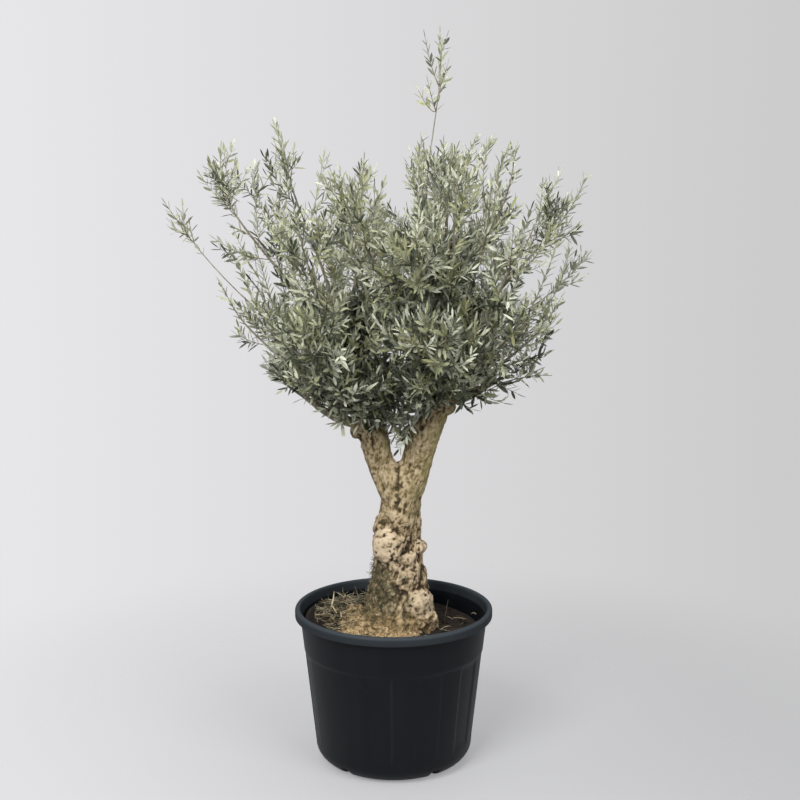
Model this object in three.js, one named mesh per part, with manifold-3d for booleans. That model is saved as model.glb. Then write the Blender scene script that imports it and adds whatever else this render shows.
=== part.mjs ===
// A potted olive tree: an old gnarled trunk that forks into two pruned limbs, short boughs on those, and
// an open, fan-shaped crown of grey-green foliage, standing in a black nursery container with a clay root
// ball. Millimetres. +Z is up, +X is to the right as seen from the front, which is -Y, and the origin is
// the centre of the pot's underside. A bearing of 0 is right, 90 back, 180 left and 270 front. A tilt is
// measured from upright.

import * as THREE from "three";
import { mergeVertices } from "three/addons/utils/BufferGeometryUtils.js";
import Module from "manifold-3d";

const wasm = await Module();
wasm.setup();

const GAP = 0.3; // between pieces that meet
const UP = new THREE.Vector3(0, 0, 1);
const GOLDEN_ANGLE = 137.5;
const MIDDLE = 0.6; // share of a shoot that is taken as its middle

const POT = {
  height: 395,
  rimRadius: 250,
  rimBand: 23,
  rimRound: 10,
  rimSlope: 4,
  wallTopRadius: 235,
  wallFootRadius: 199,
  wallFootHeight: 44,
  footRadius: 146,
  wall: 5,
  haunchHeight: 50,
  floor: 15,
  turnIn: 14,
};

// Shallow upright panels in the wall, below a plain collar. One place is left smooth.
const PANELS = {
  count: 11,
  bearing: 260.7,
  plain: 10,
  depth: 3,
  top: 312,
  topFade: 5,
  bottom: 52,
  fade: 24,
  ribShare: 0.44,
  edgeShare: 0.06,
};

const NOTCHES = {
  count: 5,
  bearing: 231,
  width: 28,
  height: 10,
  innerRadius: 128,
  outerRadius: 196,
};

const SOIL = {
  level: 350,
  fall: 0.075,
  clear: 2,
  domeRise: 24,
  domeSide: -75,
  domeDepth: 20,
  domeSpread: 90,
  rings: 3,
  sides: 26,
};

const TRUNK_CUT = 339; // height of the flat cut under the trunk, just under the soil all round

// The paths of the trunk and limbs. A station is [x, y, z, radius], from the root of a path to its tip.
const PATHS = {
  trunk: [
    [8, 2, 330, 103],
    [10, 1, 370, 92],
    [13, 0, 415, 81],
    [12, 0, 468, 71],
    [9, 0, 520, 59],
    [11, 0, 570, 55],
    [15, 0, 620, 52],
    [19, 0, 670, 50],
    [21, 0, 718, 54],
    [21, 0, 762, 36],
  ],
  left: [
    [4, 0, 690, 40],
    [-33, -1, 765, 33],
    [-53, -4, 838, 38],
    [-68, -8, 884, 36],
    [-73, -10, 914, 27],
  ],
  right: [
    [26, 0, 690, 46],
    [56, 0, 765, 38],
    [78, 1, 845, 41],
    [105, 5, 905, 35],
    [111, 8, 950, 29],
    [107, 10, 1010, 25],
    [106, 16, 1080, 22],
    [113, 18, 1165, 15],
  ],
};

// The solids that are cut from those paths, by shares of a path. Below its first share a limb is in the
// trunk.
const WOOD = {
  trunk: { path: "trunk", from: 0, to: 1, sides: 15, steps: 12, fluting: 1 },
  limb_left: { path: "left", from: 0.38, to: 1, sides: 10, steps: 5, fluting: 0.7 },
  limb_right: { path: "right", from: 0.215, to: 0.571, sides: 10, steps: 5, fluting: 0.7 },
  leader: { path: "right", from: 0.571, to: 1, sides: 8, steps: 5, fluting: 0.4 },
};

// Burls stand out of the trunk and limbs: a bearing and height on the surface, and the radii across and up.
const BURLS = {
  trunk: [
    { bearing: 237, height: 560, across: 36, up: 43, sink: 0.18 },
    { bearing: 332, height: 556, across: 21, up: 18, sink: 0.05 },
    { bearing: 303, height: 531, across: 20, up: 19, sink: 0.2 },
    { bearing: 322, height: 425, across: 40, up: 34, sink: 0.3 },
    { bearing: 325, height: 382, across: 37, up: 25, sink: 0.35 },
    { bearing: 288, height: 478, across: 31, up: 26, sink: 0.55 },
    { bearing: 222, height: 436, across: 36, up: 31, sink: 0.6 },
    { bearing: 196, height: 610, across: 24, up: 26, sink: 0.3 },
    { bearing: 350, height: 612, across: 14, up: 18, sink: 0.4 },
    { bearing: 96, height: 430, across: 44, up: 38, sink: 0.5 },
    { bearing: 62, height: 566, across: 28, up: 32, sink: 0.5 },
    { bearing: 18, height: 470, across: 30, up: 38, sink: 0.6 },
  ],
  limb_left: [
    { bearing: 186, height: 846, across: 15, up: 19, sink: 0.3 },
    { bearing: 12, height: 872, across: 15, up: 16, sink: 0.3 },
  ],
  limb_right: [
    { bearing: 352, height: 906, across: 25, up: 23, sink: 0.1 },
    { bearing: 190, height: 858, across: 15, up: 17, sink: 0.4 },
  ],
};

const SMALL_BURL = 18; // up to this radius a burl has few faces

// The crown fans out of a point above the fork. A mass is named by its tier, and its outermost leaf lies
// at a bearing, a tilt and a reach from that point. Its span is the length of its lowest twigs.
const CROWN = { x: 20, y: 0, z: 900 };
const TIERS = [
  { name: "crest", tilt: 10, span: 130, places: [[184, 640], [2, 680], [300, 640]] },
  {
    name: "upper",
    tilt: 25,
    span: 150,
    places: [[181, 745], [236, 655], [300, 665], [358, 715], [64, 670], [124, 680]],
  },
  {
    name: "shoulder",
    tilt: 39,
    span: 150,
    places: [[184, 775], [230, 650], [276, 600], [322, 640], [357, 685], [48, 650], [112, 640]],
  },
  {
    name: "flank",
    tilt: 58,
    span: 140,
    places: [[189, 572], [234, 510], [280, 490], [320, 500], [351, 508], [60, 500], [128, 515]],
  },
  {
    name: "low",
    tilt: 77,
    span: 120,
    places: [[180, 390], [234, 350], [304, 340], [1, 375], [60, 350], [122, 360]],
  },
];
const INNER_MASSES = [
  { name: "heart_left", bearing: 205, tilt: 22, reach: 360, span: 120 },
  { name: "heart_front", bearing: 280, tilt: 34, reach: 350, span: 120 },
  { name: "heart_back", bearing: 92, tilt: 30, reach: 350, span: 120 },
  { name: "skirt_left", bearing: 240, tilt: 76, reach: 225, span: 80 },
  { name: "skirt_front", bearing: 270, tilt: 60, reach: 240, span: 90 },
  { name: "skirt_right", bearing: 296, tilt: 74, reach: 225, span: 76 },
];
const LEADING_SHOOTS = [
  { name: "spire", bearing: 2, tilt: 6.3, reach: 930, span: 60, bare: 0.5, leafy: 0.62, pairs: 5 },
  { name: "outlier_left", bearing: 172, tilt: 51, reach: 805, span: 64, bare: 0.55, leafy: 0.7, pairs: 3 },
  { name: "outlier_right", bearing: 12, tilt: 53, reach: 635, span: 64, bare: 0.45, leafy: 0.7, pairs: 3 },
];
const PLAIN_MASS = { twigs: 3, bare: 0, leafy: 0.82, pairs: 1 };
const FIRST_SEED = 101;

// Boughs grow from the limbs at a share of a limb's path, and each carries the masses that lie nearest its
// line.
const BOUGHS = [
  { name: "bough_left", carrier: "limb_left", at: 0.6, bearing: 182, tilt: 66, length: 165 },
  { name: "bough_left_front", carrier: "limb_left", at: 0.66, bearing: 244, tilt: 58, length: 160 },
  { name: "bough_left_back", carrier: "limb_left", at: 0.63, bearing: 122, tilt: 60, length: 165 },
  { name: "bough_left_top", carrier: "limb_left", at: 1, bearing: 184, tilt: 30, length: 190 },
  { name: "bough_right", carrier: "limb_right", at: 0.44, bearing: 357, tilt: 68, length: 140 },
  { name: "bough_right_front", carrier: "limb_right", at: 0.48, bearing: 290, tilt: 58, length: 165 },
  { name: "bough_right_back", carrier: "limb_right", at: 0.46, bearing: 66, tilt: 60, length: 165 },
  { name: "bough_high_right", carrier: "leader", at: 0.7, bearing: 354, tilt: 40, length: 150 },
  { name: "bough_high_front", carrier: "leader", at: 0.76, bearing: 258, tilt: 38, length: 140 },
  { name: "bough_high_back", carrier: "leader", at: 0.8, bearing: 96, tilt: 38, length: 130 },
  { name: "bough_high_top", carrier: "leader", at: 1, bearing: 350, tilt: 8, length: 110 },
];
const BOUGH = {
  rootRadius: 12,
  tipRadius: 8,
  tipShare: 0.8,
  sides: 5,
  steps: 3,
  spring: 0.4,
  lift: 0.35,
  open: 60,
};
const STEM = {
  rootRadius: 6,
  tipRadius: 2.4,
  sides: 4,
  steps: 3,
  spring: 0.3,
  lift: 0.45,
  open: 50,
  spacing: 0.15,
};
const TWIG = {
  radius: 2.8,
  tipRadius: 1.8,
  first: 0.26,
  last: 0.94,
  openLow: 50,
  openTip: 34,
  stray: 40,
  lift: 0.14,
  shorten: 0.45,
  lengths: [0.85, 1.15],
  leafy: 0.3,
  least: 45,
  long: 116,
};
const LEAF = {
  length: 90,
  width: 24,
  thickness: 4,
  sunk: 1.5,
  stagger: 6,
  open: 36,
  openStray: 14,
  turnStray: 30,
  roll: 60,
  clearance: 1.2,
  lengths: [0.9, 1.08],
  sizes: [1, 0.8, 0.64],
};
const COLLAR_STEPS = 1;

const COLOURS = {
  pot: { color: 0x24282b, roughness: 0.55 },
  soil: { color: 0x7a6242, roughness: 1 },
  bark: { color: 0xa08a68, roughness: 0.9 },
  young: { color: 0x8b8468, roughness: 0.85 },
  foliage: { color: 0x7d8a6c, roughness: 0.7 },
};

// Draws of a seeded stream of numbers between 0 and 1.
function seeded(seed) {
  let state = seed >>> 0;
  return () => {
    state = (state + 0x6d2b79f5) >>> 0;
    let t = state;
    t = Math.imul(t ^ (t >>> 15), t | 1);
    t ^= t + Math.imul(t ^ (t >>> 7), t | 61);
    return ((t ^ (t >>> 14)) >>> 0) / 4294967296;
  };
}

const lerp = THREE.MathUtils.lerp;
const radians = THREE.MathUtils.degToRad;

function heading(bearing, tilt) {
  const b = radians(bearing);
  const t = radians(tilt);
  return new THREE.Vector3(Math.sin(t) * Math.cos(b), Math.sin(t) * Math.sin(b), Math.cos(t));
}

// The direction that opens by an angle from a line, turned about that line.
function branching(line, open, turn) {
  const side = new THREE.Vector3().crossVectors(line, UP);
  if (side.length() < 0.05) side.set(1, 0, 0);
  side.normalize();
  const over = new THREE.Vector3().crossVectors(side, line).normalize();
  const turned = radians(turn);
  const opened = radians(open);
  const across = side.multiplyScalar(Math.cos(turned)).addScaledVector(over, Math.sin(turned));
  return line.clone().multiplyScalar(Math.cos(opened)).addScaledVector(across, Math.sin(opened));
}

const along = (start, direction, distance) => start.clone().addScaledVector(direction, distance);

// Solids

function solidOf(geometry) {
  const bare = new THREE.BufferGeometry();
  bare.setAttribute("position", geometry.getAttribute("position").clone());
  if (geometry.index) bare.setIndex(geometry.index.clone());
  const merged = mergeVertices(bare, 1e-3);
  return new wasm.Manifold(
    new wasm.Mesh({
      numProp: 3,
      vertProperties: new Float32Array(merged.attributes.position.array),
      triVerts: new Uint32Array(merged.index.array),
    }),
  );
}

function geometryOf(solid) {
  const mesh = solid.getMesh();
  const position = new Float32Array(mesh.numVert * 3);
  for (let i = 0; i < mesh.numVert; i += 1) {
    position.set(mesh.vertProperties.subarray(i * mesh.numProp, i * mesh.numProp + 3), i * 3);
  }
  const geometry = new THREE.BufferGeometry();
  geometry.setAttribute("position", new THREE.BufferAttribute(position, 3));
  geometry.setIndex(new THREE.BufferAttribute(new Uint32Array(mesh.triVerts), 1));
  geometry.computeVertexNormals();
  return geometry;
}

const joined = (solids) => solids.reduce((whole, next) => whole.add(next));

// The largest closed body of a solid, without loose scraps or sealed hollows.
function mainBody(solid) {
  return solid.decompose().reduce((best, next) => (next.volume() > best.volume() ? next : best));
}

// Limbs: round tapering solids along a curve

// A limb drawn through stations, with its radius at each share of its length.
function stationed(stations) {
  const curve = new THREE.CatmullRomCurve3(stations.map(([x, y, z]) => new THREE.Vector3(x, y, z)));
  const radiusAt = (t) => {
    const place = Math.min(t, 1) * (stations.length - 1);
    const i = Math.min(Math.floor(place), stations.length - 2);
    return lerp(stations[i][3], stations[i + 1][3], place - i);
  };
  return { curve, radiusAt };
}

// A limb that springs from a point along one direction and arrives along another.
function sprung(start, startDirection, end, endDirection, shape) {
  const reach = start.distanceTo(end);
  const curve = new THREE.CubicBezierCurve3(
    start,
    along(start, startDirection, reach * shape.spring),
    along(end, endDirection, -reach * shape.spring),
    end,
  );
  return { curve, radiusAt: (t) => lerp(shape.rootRadius, shape.tipRadius, t) };
}

// The solid of a limb from one share of its curve to another, with flat ends.
function limbSolid(limb, from, to, sides, steps, extra = 0, swell = () => 1) {
  const geometry = new THREE.CylinderGeometry(1, 1, 1, sides, steps);
  const position = geometry.getAttribute("position");
  const middle = limb.curve.getTangent((from + to) / 2);
  const reference = Math.abs(middle.y) < 0.8 ? new THREE.Vector3(0, 1, 0) : new THREE.Vector3(1, 0, 0);
  for (let i = 0; i < position.count; i += 1) {
    const share = Math.round((position.getY(i) + 0.5) * steps) / steps;
    const t = lerp(from, to, share);
    const tangent = limb.curve.getTangent(t);
    const right = new THREE.Vector3().crossVectors(reference, tangent).normalize();
    const over = new THREE.Vector3().crossVectors(right, tangent);
    const x = position.getX(i);
    const z = position.getZ(i);
    const reach = limb.radiusAt(t) * swell(Math.atan2(z, x), t) + extra;
    const point = limb.curve.getPoint(t).addScaledVector(right, x * reach).addScaledVector(over, z * reach);
    position.setXYZ(i, point.x, point.y, point.z);
  }
  return solidOf(geometry);
}

// A limb's axis as the straight pieces between the rings of its solid, with a radius each.
function spineOf(limb, from, to, steps) {
  return Array.from({ length: steps }, (_, i) => {
    const start = lerp(from, to, i / steps);
    const end = lerp(from, to, (i + 1) / steps);
    return { a: limb.curve.getPoint(start), b: limb.curve.getPoint(end), radius: limb.radiusAt(start) };
  });
}

// A path along straight pieces.
function railOf(points) {
  const rail = new THREE.CurvePath();
  for (let i = 1; i < points.length; i += 1) rail.add(new THREE.LineCurve3(points[i - 1], points[i]));
  return rail;
}

// The shortest distance between two straight pieces.
function distanceBetween(p0, p1, q0, q1) {
  const u = p1.clone().sub(p0);
  const v = q1.clone().sub(q0);
  const w = p0.clone().sub(q0);
  const [a, b, c, d, e] = [u.dot(u), u.dot(v), v.dot(v), u.dot(w), v.dot(w)];
  const limit = (value) => THREE.MathUtils.clamp(value, 0, 1);
  const denominator = a * c - b * b;
  let s = denominator > 1e-9 ? limit((b * e - c * d) / denominator) : 0;
  const t = limit((b * s + e) / Math.max(c, 1e-9));
  s = limit((b * t - d) / Math.max(a, 1e-9));
  return along(p0, u, s).distanceTo(along(q0, v, t));
}

function clearOf(spines, start, end, radius) {
  return spines.every(({ a, b, radius: own }) => distanceBetween(start, end, a, b) > own + radius);
}

// The share of a side shoot at which it has left the limb that carries it.
function collarEnd(limb, carrierSpine, stand) {
  for (let t = 0.02; t < 0.9; t += 0.01) {
    const point = limb.curve.getPoint(t);
    if (clearOf(carrierSpine, point, point, limb.radiusAt(t) + stand)) return t;
  }
  throw new Error("a side shoot never leaves its limb");
}

// Pot and soil

// The outside of the wall, which tapers evenly from under the rim to the foot.
function wallRadius(z) {
  const share = (z - POT.wallFootHeight) / (POT.height - POT.rimBand - POT.wallFootHeight);
  return lerp(POT.wallFootRadius, POT.wallTopRadius, share);
}

// Points of a quarter turn of an ellipse, from an angle onwards.
function quarter(cx, cy, radiusX, radiusY, fromAngle, steps) {
  return Array.from({ length: steps + 1 }, (_, i) => {
    const angle = radians(fromAngle + (90 * i) / steps);
    return new THREE.Vector2(cx + radiusX * Math.cos(angle), cy + radiusY * Math.sin(angle));
  });
}

function potSection() {
  const under = POT.height - POT.rimBand;
  const foot = POT.wallFootHeight;
  const shoulder = POT.height - POT.rimRound;
  const onWall = (z) => new THREE.Vector2(wallRadius(z), z);
  const insideWall = (z) => new THREE.Vector2(wallRadius(z) - POT.wall, z);
  return [
    new THREE.Vector2(0, 0),
    ...quarter(POT.footRadius, foot, POT.wallFootRadius - POT.footRadius, foot, -90, 2),
    onWall(PANELS.bottom + PANELS.fade),
    onWall(PANELS.top - PANELS.topFade),
    onWall(PANELS.top),
    onWall(under),
    new THREE.Vector2(POT.rimRadius, under),
    ...quarter(POT.rimRadius - POT.rimRound, shoulder, POT.rimRound, POT.rimRound, 0, 2),
    insideWall(under - POT.rimSlope),
    insideWall(POT.haunchHeight),
    new THREE.Vector2(POT.footRadius + POT.turnIn, POT.floor),
    new THREE.Vector2(0, POT.floor),
  ];
}

// The shares of one panel's width at which its edges stand: two ends and a middle for the rib and for the
// recess.
const PANEL_EDGES = [
  0,
  PANELS.ribShare / 2,
  PANELS.ribShare,
  PANELS.ribShare + PANELS.edgeShare,
  (1 + PANELS.ribShare) / 2,
  1 - PANELS.edgeShare,
];

function potSolid() {
  const section = potSection();
  const geometry = new THREE.LatheGeometry(section, PANELS.count * PANEL_EDGES.length);
  geometry.rotateX(Math.PI / 2);
  const position = geometry.getAttribute("position");
  for (let i = 0; i < position.count; i += 1) {
    const turn = Math.floor(i / section.length);
    const edge = turn % PANEL_EDGES.length;
    const panel = Math.floor(turn / PANEL_EDGES.length) % PANELS.count;
    const share = panel + PANEL_EDGES[edge] - (1 + PANELS.ribShare) / 2;
    const bearing = radians(PANELS.bearing + (share * 360) / PANELS.count);
    const { x: radius, y: z } = section[i % section.length];
    const onWall = Math.abs(radius - wallRadius(z)) < 0.5 && z > PANELS.bottom && z < PANELS.top - 1;
    const recessed = edge > 2 && panel !== PANELS.plain && onWall;
    const reach = radius - (recessed ? PANELS.depth : 0);
    position.setXYZ(i, reach * Math.cos(bearing), reach * Math.sin(bearing), z);
  }
  const length = NOTCHES.outerRadius - NOTCHES.innerRadius;
  let pot = solidOf(geometry);
  for (let i = 0; i < NOTCHES.count; i += 1) {
    const notch = new THREE.BoxGeometry(length, NOTCHES.width, 2 * NOTCHES.height);
    notch.translate(NOTCHES.innerRadius + length / 2, 0, 0);
    notch.rotateZ(radians(NOTCHES.bearing + (360 * i) / NOTCHES.count));
    pot = pot.subtract(solidOf(notch));
  }
  return pot;
}

// The soil lies higher on the left, with a dome of clay round the trunk's foot.
function soilHeight(x, y) {
  const from = ((x - SOIL.domeSide) ** 2 + (y - SOIL.domeDepth) ** 2) / (2 * SOIL.domeSpread ** 2);
  return SOIL.level - SOIL.fall * x + SOIL.domeRise * Math.exp(-from);
}

function soilSolid(trunkRoom) {
  const floor = POT.floor + GAP;
  const haunch = POT.haunchHeight;
  const lowest = SOIL.level - SOIL.fall * POT.wallTopRadius;
  const reach = wallRadius(lowest) - POT.wall - SOIL.clear;
  const section = [
    new THREE.Vector2(0, floor),
    new THREE.Vector2(POT.footRadius + POT.turnIn - SOIL.clear, floor),
    new THREE.Vector2(wallRadius(haunch) - POT.wall - SOIL.clear, haunch),
  ];
  for (let ring = SOIL.rings; ring >= 0; ring -= 1) {
    section.push(new THREE.Vector2((reach * ring) / SOIL.rings, SOIL.level));
  }
  const geometry = new THREE.LatheGeometry(section, SOIL.sides);
  geometry.rotateX(Math.PI / 2);
  const position = geometry.getAttribute("position");
  for (let i = 0; i < position.count; i += 1) {
    if (position.getZ(i) > haunch + 1) position.setZ(i, soilHeight(position.getX(i), position.getY(i)));
  }
  return mainBody(solidOf(geometry).subtract(trunkRoom));
}

// Trunk and limbs

// Old olive wood is fluted, and its flutes wind up the trunk.
function fluted(angle, t) {
  const wide = 0.06 * Math.sin(3 * angle + 5 * t);
  const narrow = 0.035 * Math.sin(5 * angle - 8 * t + 1.3);
  return wide + narrow + 0.02 * Math.sin(17 * t + angle);
}

// Where a burl's middle lies: on its bearing from the limb's axis, sunk by a share of its radius.
function burlCentre(limb, burl) {
  let t = 0;
  while (t < 1 && limb.curve.getPoint(t).z < burl.height) t += 0.005;
  const reach = limb.radiusAt(t) - burl.sink * burl.across;
  const centre = along(limb.curve.getPoint(t), heading(burl.bearing, 90), reach);
  return centre.setZ(burl.height);
}

function burlSolid(limb, burl, extra) {
  const centre = burlCentre(limb, burl);
  const geometry = new THREE.IcosahedronGeometry(1, burl.across > SMALL_BURL ? 1 : 0);
  geometry.scale(burl.across + extra, burl.across + extra, burl.up + extra);
  geometry.translate(centre.x, centre.y, centre.z);
  return solidOf(geometry);
}

function layOutWood() {
  const limbs = {};
  for (const [name, sizes] of Object.entries(WOOD)) {
    const limb = { ...stationed(PATHS[sizes.path]), ...sizes, burls: BURLS[name] ?? [] };
    limb.spine = spineOf(limb, limb.from, limb.to, limb.steps);
    for (const burl of limb.burls) {
      const centre = burlCentre(limb, burl);
      limb.spine.push({ a: centre, b: centre, radius: Math.max(burl.across, burl.up) });
    }
    limbs[name] = limb;
  }
  return limbs;
}

// The fluted solid of a stretch of a limb.
function flutedSolid(limb, from, to, extra) {
  const swell = (angle, t) => 1 + limb.fluting * fluted(angle, t);
  return limbSolid(limb, from, to, limb.sides, limb.steps, extra, swell);
}

// The solids of a limb and its burls, made larger all round by a little where room for them is wanted.
function woodSolids(limb, extra) {
  const start = limb.from + (limb.from > 0 ? GAP / limb.curve.getLength() : 0);
  const burls = limb.burls.map((burl) => burlSolid(limb, burl, extra));
  return [flutedSolid(limb, start, limb.to, extra), ...burls];
}

// The part of a side shoot that is fused to the limb that carries it.
const collarSolid = (shoot, sides) => limbSolid(shoot, 0, shoot.from, sides, COLLAR_STEPS);

// The solid of a side shoot from its collar on, with a gap there, or of one that grows on from a tip.
function shootSolid(shoot, shape) {
  const start = shoot.from + (shoot.onTip ? 0 : GAP / shoot.curve.getLength());
  return limbSolid(shoot, start, 1, shape.sides, shape.steps);
}

// A shoot that leaves its carrier's side at an angle, or grows on from its tip, and ends at a point.
function growShoot(carrier, at, end, shape) {
  const line = carrier.curve.getTangent(at);
  const onTip = at === 1;
  const start = along(carrier.curve.getPoint(at), line, onTip ? GAP : 0);
  const way = end.clone().sub(start).normalize();
  const away = along(way, line, -way.dot(line)).normalize();
  const open = radians(Math.max(shape.open, THREE.MathUtils.radToDeg(way.angleTo(line))));
  const leave = line.clone().multiplyScalar(Math.cos(open)).addScaledVector(away, Math.sin(open));
  const arrive = along(way, UP, shape.lift).normalize();
  const limb = sprung(start, onTip ? line : leave, end, arrive, shape);
  const from = onTip ? 0 : collarEnd(limb, carrier.spine, 1);
  const ownSpine = spineOf(limb, from, 1, shape.steps);
  const rail = railOf([ownSpine[0].a, ...ownSpine.map((piece) => piece.b)]);
  const spine = [...spineOf(limb, 0, from, COLLAR_STEPS), ...ownSpine];
  return { ...limb, onTip, from, spine, rail, carried: 0 };
}

function growBoughs(limbs) {
  return BOUGHS.map((bough) => {
    const carrier = limbs[bough.carrier];
    const line = heading(bough.bearing, bough.tilt);
    const end = along(carrier.curve.getPoint(bough.at), line, bough.length);
    const rootRadius = bough.at === 1 ? carrier.radiusAt(1) * BOUGH.tipShare : BOUGH.rootRadius;
    return { ...bough, line, ...growShoot(carrier, bough.at, end, { ...BOUGH, rootRadius }) };
  });
}

// Masses of foliage

function listMasses() {
  const tiered = TIERS.flatMap(({ name, tilt, span, places }) =>
    places.map(([bearing, reach], i) => ({ name: `${name}_${i + 1}`, bearing, tilt, reach, span })),
  );
  const heart = new THREE.Vector3(CROWN.x, CROWN.y, CROWN.z);
  return [...tiered, ...INNER_MASSES, ...LEADING_SHOOTS].map((mass, i) => ({
    ...PLAIN_MASS,
    ...mass,
    seed: FIRST_SEED + i,
    tip: along(heart, heading(mass.bearing, mass.tilt), mass.reach - LEAF.length),
  }));
}

// Gives each mass the bough whose line points nearest its tip, and grows its stem from there.
function growStems(masses, boughs) {
  const choices = masses.map((mass) => {
    const fromBough = (bough) => mass.tip.clone().sub(bough.curve.getPoint(MIDDLE));
    const angles = boughs.map((bough) => fromBough(bough).angleTo(bough.line));
    const angle = Math.min(...angles);
    return { mass, bough: boughs[angles.indexOf(angle)], angle };
  });
  choices.sort((one, other) => one.angle - other.angle);
  for (const { mass, bough } of choices) {
    const at = 1 - STEM.spacing * bough.carried;
    bough.carried += 1;
    Object.assign(mass, growShoot(bough, at, mass.tip, STEM), { bough });
    mass.centre = mass.rail.getPoint(lerp(mass.bare, 1, MIDDLE));
  }
}

// Whether a point lies in a mass's own space, by a margin: nearer its centre than that of any other.
function inOwnSpace(mass, masses, point, margin) {
  const own = point.distanceToSquared(mass.centre);
  return masses.every((other) => {
    if (other === mass) return true;
    const apart = other.centre.distanceTo(mass.centre);
    return (point.distanceToSquared(other.centre) - own) / (2 * apart) > margin;
  });
}

// Twigs leave the stem by the golden angle, and turn up past a bend half way.
function twigsOf(mass, random) {
  return Array.from({ length: mass.twigs }, (_, k) => {
    const share = lerp(TWIG.first, TWIG.last, (k + 0.6 * random()) / mass.twigs);
    const t = lerp(mass.bare, 1, share);
    const open = lerp(TWIG.openLow, TWIG.openTip, share);
    const direction = branching(mass.rail.getTangent(t), open, GOLDEN_ANGLE * k + TWIG.stray * random());
    const length = mass.span * lerp(1, TWIG.shorten, share) * lerp(...TWIG.lengths, random());
    const start = mass.rail.getPoint(t);
    const bend = along(start, direction, length * 0.5);
    const end = along(along(start, direction, length), UP, length * TWIG.lift);
    return { start, bend, end, length };
  });
}

// Whether a twig can stay, with its end drawn back as far as the mass's own space asks.
function twigFits({ start, bend, end }, keep, obstacles) {
  if (!keep(start, TWIG.radius) || !keep(bend, TWIG.radius)) return false;
  while (!keep(end, TWIG.radius)) end.lerp(bend, 0.2);
  if (start.distanceTo(end) < TWIG.least) return false;
  const room = TWIG.radius + LEAF.clearance;
  return clearOf(obstacles, start, bend, room) && clearOf(obstacles, bend, end, room);
}

function twigSolid({ start, bend, end }) {
  const curve = new THREE.CatmullRomCurve3([start, bend, end]);
  return limbSolid({ curve, radiusAt: (t) => lerp(TWIG.radius, TWIG.tipRadius, t) }, 0, 1, 3, 2);
}

// Opposite pairs of leaves that turn a quarter from one pair to the next, and one leaf at the end.
function leafPlaces(rail, leafy, pairs, random) {
  const places = [];
  for (let j = 0; j < pairs; j += 1) {
    const t = lerp(leafy, 1, (j + 0.4) / (pairs + 0.3));
    const line = rail.getTangent(t);
    for (const side of [0, 1]) {
      const open = LEAF.open + LEAF.openStray * random();
      const direction = branching(line, open, 90 * j + 180 * side + LEAF.turnStray * random());
      places.push({ root: along(rail.getPoint(t), line, side * LEAF.stagger), direction });
    }
  }
  const line = rail.getTangent(1);
  places.push({ root: along(rail.getPoint(1), line, -LEAF.sunk), direction: line });
  return places;
}

// A leaf is a long lozenge with a flat face and a keel, and its root is sunk in its twig.
function leafGeometry({ root, direction }, length, turn) {
  const geometry = new THREE.SphereGeometry(1, 3, 2);
  geometry.scale(LEAF.thickness / 1.5, length / 2, (LEAF.width * length) / LEAF.length / Math.sqrt(3));
  geometry.translate(0, length / 2 - LEAF.sunk, 0);
  const normal = branching(direction, 90, turn);
  const across = new THREE.Vector3().crossVectors(normal, direction);
  return geometry.applyMatrix4(new THREE.Matrix4().makeBasis(normal, direction, across).setPosition(root));
}

function leafFits(leaf, { root, direction }, length, keep, obstacles) {
  const corners = leaf.getAttribute("position");
  for (let i = 0; i < corners.count; i += 1) {
    if (!keep(new THREE.Vector3().fromBufferAttribute(corners, i), GAP)) return false;
  }
  return clearOf(obstacles, root, along(root, direction, length), LEAF.width / 2 + LEAF.clearance);
}

// The stem with the twigs and leaves that keep to the mass's own space and clear of everything else.
function massSolid(mass, masses, obstacles) {
  const random = seeded(mass.seed);
  const keep = (point, margin) => inOwnSpace(mass, masses, point, margin);
  const twigs = twigsOf(mass, random).filter((twig) => twigFits(twig, keep, obstacles));
  const places = leafPlaces(mass.rail, mass.leafy, mass.pairs, random);
  for (const { start, bend, end, length } of twigs) {
    places.push(...leafPlaces(railOf([start, bend, end]), TWIG.leafy, length > TWIG.long ? 2 : 1, random));
  }
  const solids = [shootSolid(mass, STEM), ...twigs.map(twigSolid)];
  for (const place of places) {
    const grown = LEAF.length * lerp(...LEAF.lengths, random());
    const turn = 90 + LEAF.roll * (random() - 0.5);
    for (const length of LEAF.sizes.map((size) => size * grown)) {
      const leaf = leafGeometry(place, length, turn);
      if (!leafFits(leaf, place, length, keep, obstacles)) continue;
      solids.push(solidOf(leaf));
      break;
    }
  }
  return mainBody(joined(solids));
}

// The tree

function node(name, solid, look) {
  const mesh = new THREE.Mesh(geometryOf(solid), new THREE.MeshStandardMaterial({ ...look, metalness: 0 }));
  mesh.name = name;
  return mesh;
}

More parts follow.
